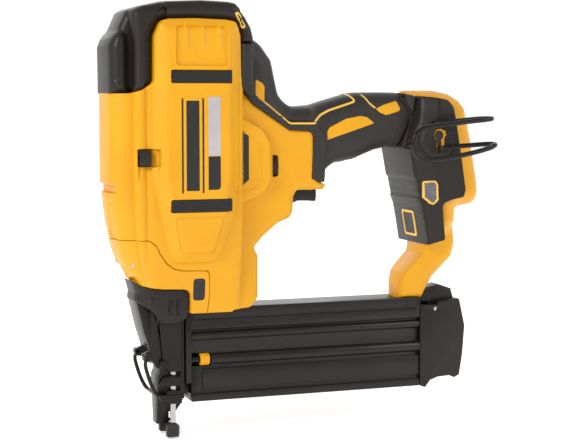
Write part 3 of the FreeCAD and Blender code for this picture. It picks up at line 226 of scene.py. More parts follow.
def inside(outline, x, z):
    """How far each point lies inside a closed outline; negative outside (mm)."""
    best = np.full(len(x), 1e9)
    hits = np.zeros(len(x), bool)
    for (ax, az), (bx, bz) in zip(outline, np.roll(outline, -1, axis=0)):
        dx, dz = bx - ax, bz - az
        t = np.clip(((x - ax) * dx + (z - az) * dz) / (dx * dx + dz * dz), 0, 1)
        best = np.minimum(best, np.hypot(x - ax - t * dx, z - az - t * dz))
        if az != bz:
            cross = ((az > z) != (bz > z)) & (x < (bx - ax) * (z - az) / (bz - az) + ax)
            hits ^= cross
    return np.where(hits, best, -best)


def round_edge(d, r):
    """The drop of a rounded edge at distance d inside it."""
    d = np.clip(d, 0, r)
    return r - np.sqrt(np.maximum(r * r - (r - d) ** 2, 0))


def form(points, half, r, chamfer=0.0, sink=0.0):
    """One form of the body: an outline, a half width and how its edge is shaped."""
    outline = rounded(points)

    def width(x, z):
        d = inside(outline, x, z)
        h = half(x, z) if callable(half) else np.full(len(x), float(half))
        if chamfer:
            h = h - sink * (1 - np.clip(d / chamfer, 0, 1))
        return np.where(d > 0, h - round_edge(d, r), -1e3)
    width.outline = outline
    return width


def blend(parts, x, z, soft=1.2):
    """The widest of several forms, with a soft join where they meet."""
    total = parts[0](x, z)
    for part in parts[1:]:
        other = part(x, z)
        both = (total > -500) & (other > -500)
        gap = np.where(both, total - other, 0)
        top = np.maximum(total, other)
        near = 0.5 * (np.sqrt(gap * gap + soft * soft) - np.abs(gap))
        total = np.where(both, top + near, top)
    return total


def sheet_points(outline, lines, grid, edge):
    """Well spread points inside an outline, denser along its edge and along the lines."""
    low, high = outline.min(axis=0), outline.max(axis=0)
    rings = [0.25, 0.7] if edge <= 1.2 else [edge * (1 - math.cos(math.radians(a)))
                                            for a in (14, 26, 38, 50, 62, 75, 90)]
    sets = []
    for line, offsets in [(outline, rings)] + [(ln, (-0.3, 0.3)) for ln in lines]:
        side = np.roll(line, -1, axis=0) - np.roll(line, 1, axis=0)
        normal = np.stack([-side[:, 1], side[:, 0]], axis=1)
        normal /= np.linalg.norm(normal, axis=1)[:, None] + 1e-9
        for off in offsets:
            for sign in (-1, 1):
                p = line + normal * off * sign
                d = inside(line, p[:, 0], p[:, 1])
                sets.append(p[np.abs(d - off) < 0.08 + 0.02 * abs(off)])
    xs = np.arange(low[0], high[0], grid)
    zs = np.arange(low[1], high[1], grid)
    gx, gz = np.meshgrid(xs, zs)
    gx = gx + (np.arange(len(zs)) % 2)[:, None] * grid / 2
    sets.append(np.stack([gx.ravel(), gz.ravel()], axis=1))
    points = np.concatenate(sets)
    d = inside(outline, points[:, 0], points[:, 1])
    points = points[d > 0.2]
    taken, out = set(), []
    for p in points:
        cell = (round(p[0] / 0.5), round(p[1] / 0.5))
        if cell not in taken:
            taken.add(cell)
            out.append(p)
    return np.array(out)


def solid(name, outline, outer, inner, material, node, side="left", lines=(), grid=2.0,
          edge=0.8, body="housing"):
    """A closed moulding between two half-width functions over an outline."""
    outline = np.array(outline)
    extra = sheet_points(outline, lines, grid, edge)
    flat = [Vector(p) for p in outline] + [Vector(p) for p in extra]
    count = len(outline)
    loop = [(i, (i + 1) % count) for i in range(count)]
    verts, _, faces, *_ = delaunay_2d_cdt(flat, loop, [], 1, 1e-6)
    x = np.array([v[0] for v in verts])
    z = np.array([v[1] for v in verts])
    d = inside(outline, x, z)
    top = outer(x, z) - round_edge(d, edge)
    low = np.minimum(inner(x, z, d), top - 0.15)
    sign = -1.0 if side == "left" else 1.0
    mesh = bpy.data.meshes.new(name)
    bm = bmesh.new()
    up = [bm.verts.new((a / 1e3, sign * b / 1e3, c / 1e3)) for a, b, c in zip(x, top, z)]
    down = [bm.verts.new((a / 1e3, sign * b / 1e3, c / 1e3)) for a, b, c in zip(x, low, z)]
    uses = {}
    for tri in faces:
        bm.faces.new([up[i] for i in tri])
        bm.faces.new([down[i] for i in reversed(tri)])
        for a, b in zip(tri, list(tri[1:]) + [tri[0]]):
            uses.setdefault(frozenset((a, b)), []).append((a, b))
    for pair in uses.values():
        if len(pair) == 1:
            a, b = pair[0]
            bm.faces.new([up[b], up[a], down[a], down[b]])
    bmesh.ops.recalc_face_normals(bm, faces=bm.faces)
    bm.to_mesh(mesh)
    bm.free()
    return dress(name, mesh, material, node, body)


def dress(name, mesh, material, node, body):
    """Give a finished mesh its material and its place on a body."""
    mesh.materials.clear()
    mesh.materials.append(material)
    mesh.shade_smooth()
    mesh.set_sharp_from_angle(angle=math.radians(38))
    item = bpy.data.objects.new(name, mesh)
    bpy.context.scene.collection.objects.link(item)
    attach(item, body)
    for one in ([node] if isinstance(node, str) else node):
        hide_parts(one)
    return item


BODY_WALL = 2.8


def wall_under(outer, wall=BODY_WALL):
    """The inner face of a hollow half: the wall's depth below, closed at its rim.

    The rim stays open round the driver's channel."""
    def face(x, z, d):
        channel = (x > -14) & (x < np.where(z > 104, 24, 5)) & (z < 136)
        return np.where((d > wall + 0.4) | channel, np.maximum(outer(x, z) - wall, 0.05), 0.05)
    return face


# how wide the barrel is, getting narrower towards the nose
def shoulder_half(x, z):
    return 30.0 - 8.5 * np.clip((150 - z) / 66, 0, 1) ** 1.3


BARREL = [(-45.5, 300), (-45.8, 172), (-44.2, 159), (-42.3, 144), (-40.3, 133), (-38, 124),
          (-35.3, 118), (-31.8, 112.5), (-27, 106), (-24, 78), (38, 78), (38, 300)]
SHOULDER = [(-31.5, 300), (-31.5, 160), (-30, 140), (-27, 122), (-20, 100), (-18, 78),
            (43.5, 78), (43.5, 300)]
PANEL = [(-20.5, 281, 6), (-20.5, 176, 30), (-13, 146, 20), (-8.5, 126, 8), (-4, 119, 5),
         (23, 119, 6), (29, 128, 8), (35.5, 150, 20), (39.5, 176, 30), (39.5, 281, 6)]
PAD = [(30, 155, 4), (44, 157.5, 6), (57.5, 163.5, 6), (64.5, 172, 5), (63.6, 199, 6),
       (57.6, 208, 6), (44, 215), (30, 219)]
NECK = [(30, 300), (30, 80), (57, 78), (57, 121, 4), (54, 126.5, 3), (60.5, 134, 6),
        (71.5, 143, 5), (79.6, 146, 4), (82, 150), (82.8, 161, 2), (85, 165, 2),
        (106, 165, 2), (106, 169.5, 2), (100, 172), (98, 207.5), (80, 208), (54, 226), (45, 236),
        (43.5, 300)]
HANDLE = [(70, 225), (84, 221), (101, 221.5), (120, 227), (131, 230), (163, 230), (176, 227),
          (176, 195), (163, 195.5), (147, 194), (131, 187.5), (116, 185), (106, 180),
          (98, 172), (80, 172)]
FOOT = [(171, 228), (174.7, 233.6, 2), (189, 233.5, 10), (201, 231.2, 8), (208.6, 227, 6),
        (213.4, 221.5, 5), (215.2, 214, 4), (218.8, 198), (224, 168.7, 3), (224.6, 161, 3),
        (223.2, 155.5, 3), (220, 152.4, 3), (206.6, 150, 4), (206.4, 140),
        (207.4, 127), (207.4, 120, 4), (205.6, 114, 4), (192, 100.6), (185, 92, 4),
        (182.3, 85.7), (164.8, 85.7), (164.8, 94.4, 4), (168.6, 103.7, 4), (181.7, 117.8, 3),
        (182.5, 123), (182, 126), (178.6, 148), (175.6, 157), (171.8, 172.5), (168, 194)]

bulge = form(BARREL, lambda x, z: 24.5 - 3 * np.clip((150 - z) / 66, 0, 1), 14)
shoulder = form(SHOULDER, shoulder_half, 4.5)
panel = form(PANEL, lambda x, z: 38.0 - 3.0 * np.clip((160 - z) / 40, 0, 1), 0.8, 9, 6.5)
pad = form(PAD, 26.6, 1.2, 1.6, 1.2)
pad_field = form([(34, 166, 3), (50, 166, 3), (57, 174, 3), (56.5, 196, 4), (50, 203, 4),
                  (34, 208, 3)], 1.0, 0.4)
neck = form(NECK, 20.5, 5)
handle = form(HANDLE, 14.0, 8)
foot = form(FOOT, 29.0, 20)
leg = form([(164.8, 140), (164.8, 85), (184, 85), (192, 100), (207, 114), (210, 124),
            (207, 150), (180, 150)], 14.5, 9)


# details cut into the yellow face
rib_field = form([(-5.5, 275, 4), (-5.5, 249.5, 3), (29.5, 249.5, 3), (29.5, 275, 4)], 1.0, 0.6)
vent_high = form([(-8.9, 246.4, 1), (-8.9, 238, 1), (32.5, 238, 1), (32.5, 246.4, 1)], 1.0, 0)
vent_low = form([(-8.9, 161.7, 1), (-8.9, 153.4, 1), (32.3, 153.4, 1), (32.3, 161.7, 1)], 1.0, 0)
tongue = form([(-6.5, 150, 3), (-1.5, 126, 4), (21, 126, 4), (28, 150, 3)], 1.0, 0.6)
stall_slot = form([(-29.6, 194.8, 0.8), (-29.6, 183.4, 0.8), (-15.5, 183.4, 0.8),
                   (-15.5, 194.8, 0.8)], 1.0, 0)
stall_ramp = form([(-29.2, 183.4), (-29.2, 171.5, 1), (-16.5, 171.5, 1), (-16.5, 183.4)], 1.0, 0)
wheel_gap = form([(66.6, 190, 1), (66.6, 174.5, 1), (70.4, 175.5, 1), (70.4, 189, 1)], 1.0, 0)
RIBS = (1.9, 13.2, 24.5)


def yellow_face(side):
    """The half width of the yellow body on one side (mm)."""
    def face(x, z):
        body = blend([bulge, shoulder, neck], x, z, 1.5)
        body = np.maximum(body, handle(x, z))
        high = foot(x, z) - 14.5 * np.clip((141 - z) / 16, 0, 1)
        body = np.maximum(body, np.where(z > 120, high, -1e3))
        body = np.maximum(body, leg(x, z))
        body = np.maximum(body, np.maximum(panel(x, z), pad(x, z)))
        groove = np.exp(-((x + 23.2) / 1.6) ** 2) * (z > 120)
        body = body - 1.5 * groove * (panel(x, z) < 0) * (body > 25)
        body = body - 0.5 * (pad_field(x, z) > 0)
        ribs = sum(np.exp(-((x - at) / 1.2) ** 2) for at in RIBS) * np.clip((z - 260) / 2, 0, 1)
        body = body - (rib_field(x, z) > 0) * (1.5 - 1.3 * np.clip(ribs, 0, 1))
        body = body - 0.8 * (tongue(x, z) > 0)
        body = body - 3.0 * ((vent_high(x, z) > 0) | (vent_low(x, z) > 0))
        body = body - 5.0 * (wheel_gap(x, z) > 0)
        if side == "left":
            body = body - 5.0 * (stall_slot(x, z) > 0)
            slope = np.clip((z - 171.5) / 12, 0, 1)
            body = body - 2.2 * slope * (stall_ramp(x, z) > 0)
        return np.maximum(body, 1.0)
    return face


SEAM_GAP = 0.15
SEAM = [(-42, 134.6), (-22, 134.6, 4), (-16.8, 130.6, 4), (-14.8, 126, 3), (-10, 119, 8),
        (-4.6, 115, 5), (1.5, 113.6, 4), (19.5, 113, 3), (20.5, 99, 4), (19.4, 84)]
CAP_LINE = [(-45.6, 231.3), (-33, 231.3, 8), (-26, 233.6, 8), (-18.6, 238.5, 6),
            (-18.3, 269, 9), (-14, 278.5, 6), (-9, 279.6), (9, 280.3), (30, 279.6), (36.5, 278.4, 4),
            (40.8, 270, 5)]
HOUSE = (CAP_LINE + [(41, 262), (41.5, 240, 4), (62, 232), (75, 225, 6), (84, 221, 6), (101, 221.5, 8),
                     (120, 227, 20), (131, 230, 20), (163, 230), (173.7, 233.3, 2)]
         + FOOT[2:] + [(147, 194, 8), (131, 187.5, 20), (116, 185), (107, 178, 4), (105, 170.8, 2),
                       (106.5, 167.5, 1), (105.8, 164.5, 1), (95, 164.8), (86, 164.5, 3), (83, 160.5, 3),
                       (81.9, 149.5, 2), (79.6, 146, 4), (71.5, 143, 5), (60.5, 134, 6), (54, 126.5, 3),
                       (56.8, 121.7, 3), (56.6, 93, 4), (50, 86.2, 3), (38, 85.2), (37, 83.9), (19.7, 83.9)]
         + [(a + SEAM_GAP, b + SEAM_GAP) + tuple(r) for a, b, *r in reversed(SEAM)]
         + [(-44.6, 160), (-45.6, 165.4), (-41.8, 166), (-41.8, 170.6), (-46, 171.4)])

for side in ("left", "right"):
    face = yellow_face(side)
    solid(f"body_{side}", rounded(HOUSE), face, wall_under(face), yellow,
          f"housing_{side}", side,
          lines=[f.outline for f in (panel, pad, shoulder, vent_high, vent_low, rib_field, tongue,
                                     stall_slot, stall_ramp, wheel_gap, pad_field)],
          grid=1.7, edge=0.5)


# ---------------------------------------------------------------- plain labels
# Printed film labels on the side panel and the pad.  All their lettering is left out:
# they are blank bars in its place, a tenth of a millimetre thick.
def raised(face, lift):
    """A face lifted by a fixed amount."""
    return lambda x, z: face(x, z) + lift


LABELS = {
    "label_line_front": ([(-2.3, 166), (-2.3, 228), (-1.1, 228), (-1.1, 166)], "ink"),
    "label_line_rear": ([(11.7, 166), (11.7, 228), (12.9, 228), (12.9, 166)], "ink"),
    "label_bar": ([(0.9, 167.5, 0.5), (0.9, 226.5, 0.5), (9.7, 226.5, 0.5), (9.7, 167.5, 0.5)], "ink"),
    "label_strip_grey": ([(15.8, 190.4), (15.8, 229, 1), (24.2, 229, 1), (24.2, 190.4)], "grey"),
    "label_strip_black": ([(15.8, 168), (15.8, 190), (24.2, 190), (24.2, 168, 2.5)], "ink"),
    "label_pad": ([(42.9, 206.5), (47.6, 202.8), (47.6, 173.4), (42.9, 169.8)], "ink"),
    "label_cover": ([(8.8, 93, 2.5), (8.8, 108, 2.5), (17, 108, 2.5), (17, 93, 2.5)], "ink"),
}
for side in ("left", "right"):
    face = yellow_face(side)
    for name, (shape, kind) in LABELS.items():
        label = solid(f"{name}_{side}", rounded(shape), raised(face, 0.12),
                      lambda x, z, d: face(x, z) - 0.3, grey if kind == "grey" else ink, [], side,
                      grid=1.5, edge=0.05)


# ---------------------------------------------------------------- lower front cover
# The yellow nylon cover over the nose mount, one moulding each side, screwed on; a fine
# seam shows where it meets the body.
COVER = [(a - SEAM_GAP, b - SEAM_GAP) + tuple(r) for a, b, *r in SEAM] + [
    (8, 84, 1), (7.6, 97, 4), (5.9, 99.8, 3), (2.5, 100.9), (-11.4, 101.6), (-18.3, 102.4),
    (-25, 103.4), (-31, 107.8, 1), (-35.3, 118), (-38, 124), (-40.3, 133)]
for side in ("left", "right"):
    face = yellow_face(side)
    solid(f"lower_cover_{side}", rounded(COVER), face, wall_under(face), yellow,
          f"nose_cover_{side}", side, lines=[shoulder.outline], grid=1.7, edge=0.5)


# ---------------------------------------------------------------- top cap
# The black nylon cap over the top of the barrel, one moulding with a bump in front over
# the driver's head and a lid line across the crown.
CAP = [(-45.7, 231, 1), (-46, 262, 4), (-44, 267, 4), (-39.5, 272.5, 3), (-36.6, 279, 4), (-33.6, 285.5, 4),
       (-26.8, 288, 4), (-13, 291.2), (14.6, 292.5), (33, 291.8), (38, 290.8, 2), (40.6, 288, 3),
       (45.6, 282, 5), (49.6, 275, 6), (51.4, 268), (51.2, 264), (49, 264, 2), (41.4, 264),
       (41.2, 272, 4), (37, 278.8, 4), (30, 279.9), (9, 280.6), (-9, 279.9), (-14.2, 278.8, 6),
       (-18.6, 269, 9), (-18.8, 238.3, 6), (-26, 233.3, 8), (-33, 231, 8)]
cap_front = form([(-47.5, 229), (-47.5, 262, 4), (-45, 272, 6), (-39, 274.5, 4), (-33.5, 270, 6),
                  (-32.4, 262, 4), (-32.4, 229)], 23.5, 8)
cap_core = form([(-47.5, 229), (-47.5, 290), (60, 300), (60, 229)], 20.0, 0)
cap_side = form([(-31, 225), (-31, 264, 8), (-33, 284, 5), (-26, 291), (60, 298), (60, 225)], 30.5, 5)
cap_lip = form([(-24.5, 225), (-24.5, 270, 14), (-14, 287, 8), (60, 289), (60, 225)], 29.0, 2)
cap_lid = form([(-10.2, 277), (-10.2, 295, 2), (41, 295), (41, 277)], 31.5, 0)


def cap_face(x, z):
    """The half width of the cap (mm)."""
    body = blend([cap_core, cap_front, cap_side], x, z, 0.8)
    body = np.where(cap_lip(x, z) > 0, np.minimum(body, 28.5 + 0 * x), body)
    body = np.where(cap_lid(x, z) > 0, 31.5, body)
    body = body - 0.5 * np.exp(-((z - 240 - 0.06 * (x + 40)) / 0.35) ** 2) * (x < -24)
    return body


for side in ("left", "right"):
    solid(f"cap_{side}", rounded(CAP), cap_face, lambda x, z, d: 0.0 * x, black,
          "top_cap", side, lines=[f.outline for f in (cap_front, cap_side, cap_lip, cap_lid)],
          grid=1.6, edge=5.5)


# The eyelet ring is the yellow painted lighter, a painted highlight; the eye inside it is covered with the
# same black as the painted shade of the hollows.
EYELET = [(36, 284.2, 1.6), (38.8, 285.2, 1.6), (45.2, 275.6, 1.8), (42.8, 273.6, 1.8)]
EYE = [(37.8, 282.8, 0.6), (38.8, 283.4, 0.6), (43.8, 276.2, 0.6), (42.8, 275.6, 0.6)]
for side in ("left", "right"):
    for name, shape, lift, paint, slot in (("cap_eyelet", EYELET, 0.3, painted_highlight_yellow, "yellow_abs"),
                                           ("cap_eye", EYE, 0.5, painted_shade_black, "black_nylon")):
        ring = solid(f"{name}_{side}", rounded(shape, 0.7),
                     lambda x, z: cap_face(x, z) - round_edge(inside(rounded(CAP), x, z), 5.5) + lift,
                     lambda x, z, d: cap_face(x, z) - 7, paint, [], side, grid=1.0, edge=0.3)


# ---------------------------------------------------------------- grip rubber
# Soft black rubber moulded over the strip behind the barrel, the hump and the handle, in
# two halves; two yellow lines and three yellow windows of the body show through it.
GRIP = [(41.4, 264.5, 1), (49, 264.5), (51.4, 264.5), (52, 267.8), (54, 267.8), (61.2, 264, 8),
        (65.6, 259.6, 8), (68.6, 254, 8), (70.6, 247, 10), (71.8, 239, 10), (73.4, 231.6, 10),
        (77, 225.6, 6), (83, 222.6, 6), (92.2, 222.4, 8), (101, 223.6, 10), (108.6, 226, 12),
        (120, 229.1, 14), (131, 232, 20), (150, 232.2), (162.8, 232, 10), (171, 230, 6), (174, 228.5),
        (170.5, 214, 20), (165.4, 202.5, 20), (163.2, 193), (154.5, 193.1), (146.7, 191.6, 10),
        (139, 188.9, 20), (131.4, 185.4, 20), (123.8, 183.4, 20), (116.2, 182.8, 8), (112, 180.9, 5),
        (109.2, 177.5, 5), (108.2, 174, 5), (106.8, 169.8), (94.6, 172.6, 1), (96.3, 202, 3),
        (93, 205.8, 4), (79, 206.2, 3), (52.3, 223.8, 6), (41.4, 236, 8)]
strip = form([(40, 290), (50.5, 281), (50.8, 233, 8), (78, 212, 6), (98, 212), (106, 198),
              (104, 160), (90, 160), (70, 200), (40, 222)], 21.0, 2)
strip_side = form([(30, 300), (51, 300), (51, 241, 8), (52.5, 231, 4), (47, 225), (30, 240)], 28.5, 3)
hump_form = form([(36, 290), (52, 273), (61.2, 264, 8), (68.6, 254, 8), (71.8, 239, 10), (73.4, 231.6, 10),
                  (77, 225.3, 6), (83, 222.1, 6), (101, 223, 10), (101, 206), (60, 206), (36, 225)],
                 20.5, 13)
grip_form = form([(74, 240), (80, 226), (84.8, 222.6, 6), (101, 223.4, 10), (108.6, 225.8, 12),
                  (120, 229, 14), (131, 232, 20), (150, 232.2), (162.8, 232), (180, 232), (180, 192),
                  (163.2, 193), (154.5, 193.1), (146.7, 191.6, 10), (131.4, 185.4, 20), (116.2, 182.8, 8),
                  (109.2, 177.5, 5), (106.8, 166), (74, 166)], 17.6, 14)
step_form = form([(164, 235), (169.5, 214), (163.5, 190), (200, 190), (200, 235)], 20.0, 6)


def rubber_face(x, z):
    """The half width of the rubber (mm)."""
    body = blend([grip_form, hump_form, strip], x, z, 3.0)
    body = np.maximum(body, strip_side(x, z))
    body = blend([lambda a, b: body, step_form], x, z, 2.0)
    inner = np.sin((x - 0.25 * z) * 2 * np.pi / 2.6)
    fade = np.clip((x - 118) / 8, 0, 1) * np.clip((164 - x) / 6, 0, 1)
    low = np.clip((208 + 0.12 * (x - 120) - z) / 6, 0, 1)
    body = np.maximum(body, np.maximum(np.minimum(neck(x, z), 24), shoulder(x, z)) + 0.7)
    return np.maximum(body + 0.22 * inner * fade * low, 1.0)


for side in ("left", "right"):
    solid(f"grip_{side}", rounded(GRIP), rubber_face,
          lambda x, z, d: np.where(d > 3, np.maximum(rubber_face(x, z) - 3, 0.05), 0.05),
          rubber, f"grip_rubber_{side}", side,
          lines=[strip.outline, strip_side.outline, step_form.outline], grid=1.0, edge=1.2)


def ribbon(line, width):
    """The outline of a band that follows an open line."""
    p = np.array(line, float)
    t = np.gradient(p, axis=0)
    n = np.stack([-t[:, 1], t[:, 0]], axis=1) / np.linalg.norm(t, axis=1)[:, None]
    return [tuple(q) for q in p + n * width / 2] + [tuple(q) for q in (p - n * width / 2)[::-1]]


def smooth_line(points, step=1.5):
    """An open line with its corners rounded."""
    closed = rounded([(points[0][0], points[0][1])] + list(points[1:-1]) + [points[-1][:2]], step)
    last = np.argmin(np.hypot(closed[:, 0] - points[-1][0], closed[:, 1] - points[-1][1]))
    return closed[:last + 1]


LONG_LINE = [(54.6, 231), (58.5, 227.2, 2), (79, 211, 3), (96.6, 210.9, 3), (103, 216.6, 5), (109, 219.6, 8),
             (122, 223.6, 8), (129.6, 226, 2), (125.6, 231.2)]
SHORT_LINE = [(135, 231.4), (139.4, 224.5, 4), (143.4, 221)]
WINDOW_TOP = [(54, 241, 1), (54, 230, 1), (56.4, 227.4), (60.6, 225.2), (60.8, 235.8, 1), (59, 238.6, 1)]
WINDOW_GRIP = [(107.2, 199.2, 0.6), (107.3, 205.3, 2), (109, 208, 2), (121, 213.9, 6), (132, 215.9, 4),
               (137, 215, 2), (142.7, 210.6, 0.6)]
WINDOW_REAR = [(143.4, 220.6, 0.6), (149.2, 223.3, 2), (159.9, 226.3, 0.8), (162.4, 220.4, 1.2),
               (161, 218.8, 1.5), (151.6, 216.1, 4), (147, 217.8, 3)]
# The two yellow lines are painted lighter than the windows' yellow, a painted highlight along their raised
# edges.
for side in ("left", "right"):
    for name, shape, lift, look_of in (
            ("long_line", ribbon(smooth_line(LONG_LINE), 1.5), 0.35, painted_highlight_yellow),
            ("short_line", ribbon(smooth_line(SHORT_LINE), 1.4), 0.35, painted_highlight_yellow),
            ("window_top", WINDOW_TOP, 0.25, yellow),
            ("window_grip", WINDOW_GRIP, 0.3, yellow),
            ("window_rear", WINDOW_REAR, 0.3, yellow)):
        inlay = solid(f"{name}_{side}", rounded(shape, 0.8), raised(rubber_face, lift),
                      lambda x, z, d: rubber_face(x, z) - 1.5, look_of, [], side,
                      grid=1.2, edge=0.4)


# ---------------------------------------------------------------- foot covers
# Black nylon covers screwed over both sides of the battery foot; the left one carries the
# belt hook's screw, and each has a window for a lamp.
REAR_COVER = [(162.5, 229.9, 1), (172, 229.8, 3), (181, 229, 4), (192, 227, 4), (196, 222.6, 4),
              (197.6, 214), (199, 205.8), (202.5, 184.8), (205.8, 163.6, 2), (204.3, 158.7, 2),
              (195, 156.8, 3), (189.3, 154.8, 2), (188, 152, 2), (188.9, 143), (190.6, 128.7, 2),
              (183.6, 126), (180.6, 124.8), (177.8, 140.6), (175.5, 152), (173.3, 157.5, 1),
              (173.8, 158.7), (171.3, 171), (169.8, 172.5), (166.4, 192.4), (163.4, 193.2),
              (163.8, 196, 3), (166, 203, 20), (170.5, 214, 20)]
cover_form = form([(166.2, 193), (168, 203, 20), (172.5, 214, 20), (174.5, 240), (230, 240), (230, 110),
                   (184, 110), (180.1, 126), (177.8, 140.6), (175.5, 152), (173.3, 157.5, 1),
                   (173.8, 158.7), (171.3, 171), (169.8, 172.5)], 34.2, 2.5, 12, 7.5)
cover_step = form([(160, 189), (160, 232.5), (184, 232.5), (184, 189)], 19.5, 9)
dish = form([(184.5 + 12.5 * math.cos(t), 199 + 12.5 * math.sin(t))
             for t in np.linspace(0, 2 * math.pi, 24, endpoint=False)], 1.0, 0)
def bulb(at, level, radius, neck, low):
    """A keyhole: a round head with a narrower slot below it."""
    turn = math.asin(neck / radius)
    head = [(at + radius * math.sin(t), level - radius * math.cos(t))
            for t in np.linspace(turn, 2 * math.pi - turn, 22)]
    return head + [(at - neck, low, 1), (at + neck, low, 1)]


key_hole = form(bulb(185.4, 202.4, 4.5, 2.7, 191), 1.0, 0)


def cover_face(x, z):
    """The half width of the foot covers (mm)."""
    body = blend([cover_form, cover_step], x, z, 2.0)
    body = body - 3.4 * np.clip((z - 214) / 16, 0, 1) ** 2
    around = inside(dish.outline, x, z)
    body = body - 0.5 * np.exp(-(around / 0.6) ** 2)
    body = body - 1.6 * (key_hole(x, z) > 0)
    return np.maximum(body, 14)


for side in ("left", "right"):
    solid(f"foot_cover_shell_{side}", rounded(REAR_COVER), cover_face,
          lambda x, z, d: np.where(inside(cover_form.outline, x, z) < 3.2, 0.05,
                                   np.where(d > 2.8, cover_face(x, z) - 2.6, 13.0)),
          black, f"foot_cover_{side}", side,
          lines=[dish.outline, key_hole.outline], grid=1.3, edge=0.6)
lining = solid("key_hole_lining", key_hole.outline, raised(cover_face, 0.7),
               lambda x, z, d: cover_face(x, z) - 1, yellow, [], "left", grid=0.8, edge=0.3)
# The dark bulb inside the keyhole's yellow lining is a black sheet of painted shade for the depth of the
# hole round the screw.
KEY_PAINTED_SHADE = form(bulb(184.8, 202.2, 3.5, 1.8, 191.8), 1.0, 0)
hollow = solid("key_hole_hollow", KEY_PAINTED_SHADE.outline, raised(cover_face, 0.85),
               lambda x, z, d: cover_face(x, z) - 0.5, painted_shade_black, [], "left", grid=0.8, edge=0.2)


# ---------------------------------------------------------------- slot in the foot's front
# A lanyard slot through the front wall of the foot: a yellow lip, painted lighter as painted highlight,
# round a flat black plug of painted shade in the opening.
def front_frame(name, half, low, high, lip, proud, deep, material):
    """A rounded frame or plug on the foot's sloping front face."""
    lean = (180.1 - 175.5) / (152 - 126)
    outer = rounded([(-half, low, 2), (half, low, 2), (half, high, 2), (-half, high, 2)], 1.5)
    centre = np.array([0, (low + high) / 2])
    size = np.array([half, (high - low) / 2])
    inner = centre + (outer - centre) * (size - lip) / size if lip else None
    bm = bmesh.new()

    def loop(shape, out):
        return [bm.verts.new(((175.5 + lean * (152 - b) - out) / 1e3, a / 1e3, b / 1e3))
                for a, b in shape]
    rings = [loop(outer, -deep), loop(outer, proud - 0.2), loop(outer + (centre - outer) * 0.02, proud)]
    if lip:
        rings += [loop(inner, proud), loop(inner, -deep)]
    count = len(outer)
    pairs = list(zip(rings, rings[1:])) + ([(rings[-1], rings[0])] if lip else [])
    for a, b in pairs:
        for k in range(count):
            bm.faces.new((a[k], a[(k + 1) % count], b[(k + 1) % count], b[k]))
    if not lip:
        bm.faces.new(rings[0])
        bm.faces.new(rings[-1])
    bmesh.ops.recalc_face_normals(bm, faces=bm.faces)
    mesh = bpy.data.meshes.new(name)
    bm.to_mesh(mesh)
    bm.free()
    return dress(name, mesh, material, [], "housing")


front_frame("slot_lip", 10, 129.6, 148, 1.7, 0.5, 1.5, painted_highlight_yellow)
front_frame("slot_hollow", 8.2, 131.4, 146.2, 0, 0.05, 1.0, painted_shade_black)


# ---------------------------------------------------------------- nose cup
# The black nylon cup round the root of the nose, under the yellow cover; it is open below
# and has two short grooves pressed in each side.
CUP = [(-30.2, 106.6), (-28, 98), (-28.6, 93, 1), (-23.5, 90, 4), (-17, 85.5, 4),
       (-12.4, 78.2, 3), (-9, 76.4, 2), (-3, 76.6), (1, 77.2), (5, 80, 3), (6.6, 84), (7.8, 91, 3),
       (7.6, 96.8, 3), (5.9, 99.6, 2), (2.5, 100.7), (-11.4, 101.4), (-18.3, 102.2), (-25, 103.2)]
cup_form = form([(-30.8, 112), (-30.4, 107), (-28, 98), (-28.6, 93.5, 2), (-27, 86, 2), (-20, 70), (40, 70),
                 (40, 112)], 19.8, 12)
cup_grooves = [form([(at - 1.1, 93.6, 1), (at + 1.1, 93.6, 1), (at + 1.1, 82.4, 1), (at - 1.1, 82.4, 1)],
                    1.0, 0) for at in (-5.6, -0.6)]
hinge_dome = form([(-18.6 + 3.4 * math.cos(t), 91 + 4.2 * math.sin(t))
                   for t in np.linspace(0, 2 * math.pi, 20, endpoint=False)], 1.0, 0)


def cup_face(x, z):
    """The half width of the nose cup (mm)."""
    body = cup_form(x, z) - 2.2 * np.clip((88 - z) / 12, 0, 1) ** 2
    for groove in cup_grooves:
        body = body - 0.8 * (groove(x, z) > 0)
    lift = np.clip(inside(hinge_dome.outline, x, z) / 3, 0, 1)
    return np.maximum(body + 1.2 * np.sin(lift * math.pi / 2), 4)


for side in ("left", "right"):
    solid(f"nose_cup_{side}", rounded(CUP), cup_face,
          lambda x, z, d: np.where(((x < -16) | (x > 5.5)) & (d < 1.6) & (z > 92.6), 0.05, np.minimum(
              np.maximum(cup_face(x, z) - 2.2, 13.2), cup_face(x, z) - 0.4)),
          black, "nose_shroud", side, lines=[g.outline for g in cup_grooves] + [hinge_dome.outline],
          grid=1.0, edge=0.8)


# ---------------------------------------------------------------- side plates of the nose
# Blacked steel plates riveted over the contact trip's straps; the bright strap shows in
# the gaps between them.
PLATES = {"high": [(-9.6, 49, 1), (-12.2, 78), (3.4, 78), (3.4, 43.8, 0.6), (-5, 43.8, 2)],
          "middle": [(-12, 35, 2), (-9, 40.6, 3), (-2, 40.6), (3.6, 40.6, 0.6), (3.6, 34.4), (-12, 34.4)],
          "pin": [(-9.2 + 3 * math.cos(t), 49.2 + 3 * math.sin(t))
                  for t in np.linspace(0, 2 * math.pi, 20, endpoint=False)],
          "low": [(-12, 28.4), (3.6, 28.4), (3.6, 21.8, 0.6), (-6, 21.8, 2), (-12, 25, 2)]}
PLATE_INNER, PLATE_OUTER, PIN_OUTER = 12.5, 14.2, 15.2


def level_face(half):
    """A flat side face at one half width."""
    return lambda x, z, d=None: half + 0 * x


for side in ("left", "right"):
    for level, shape in PLATES.items():
        face = level_face(PIN_OUTER if level == "pin" else PLATE_OUTER)
        plate = solid(f"side_plate_{level}_{side}", rounded(shape), face, level_face(PLATE_INNER),
                      blacked, [], side, grid=2.0, edge=0.5)


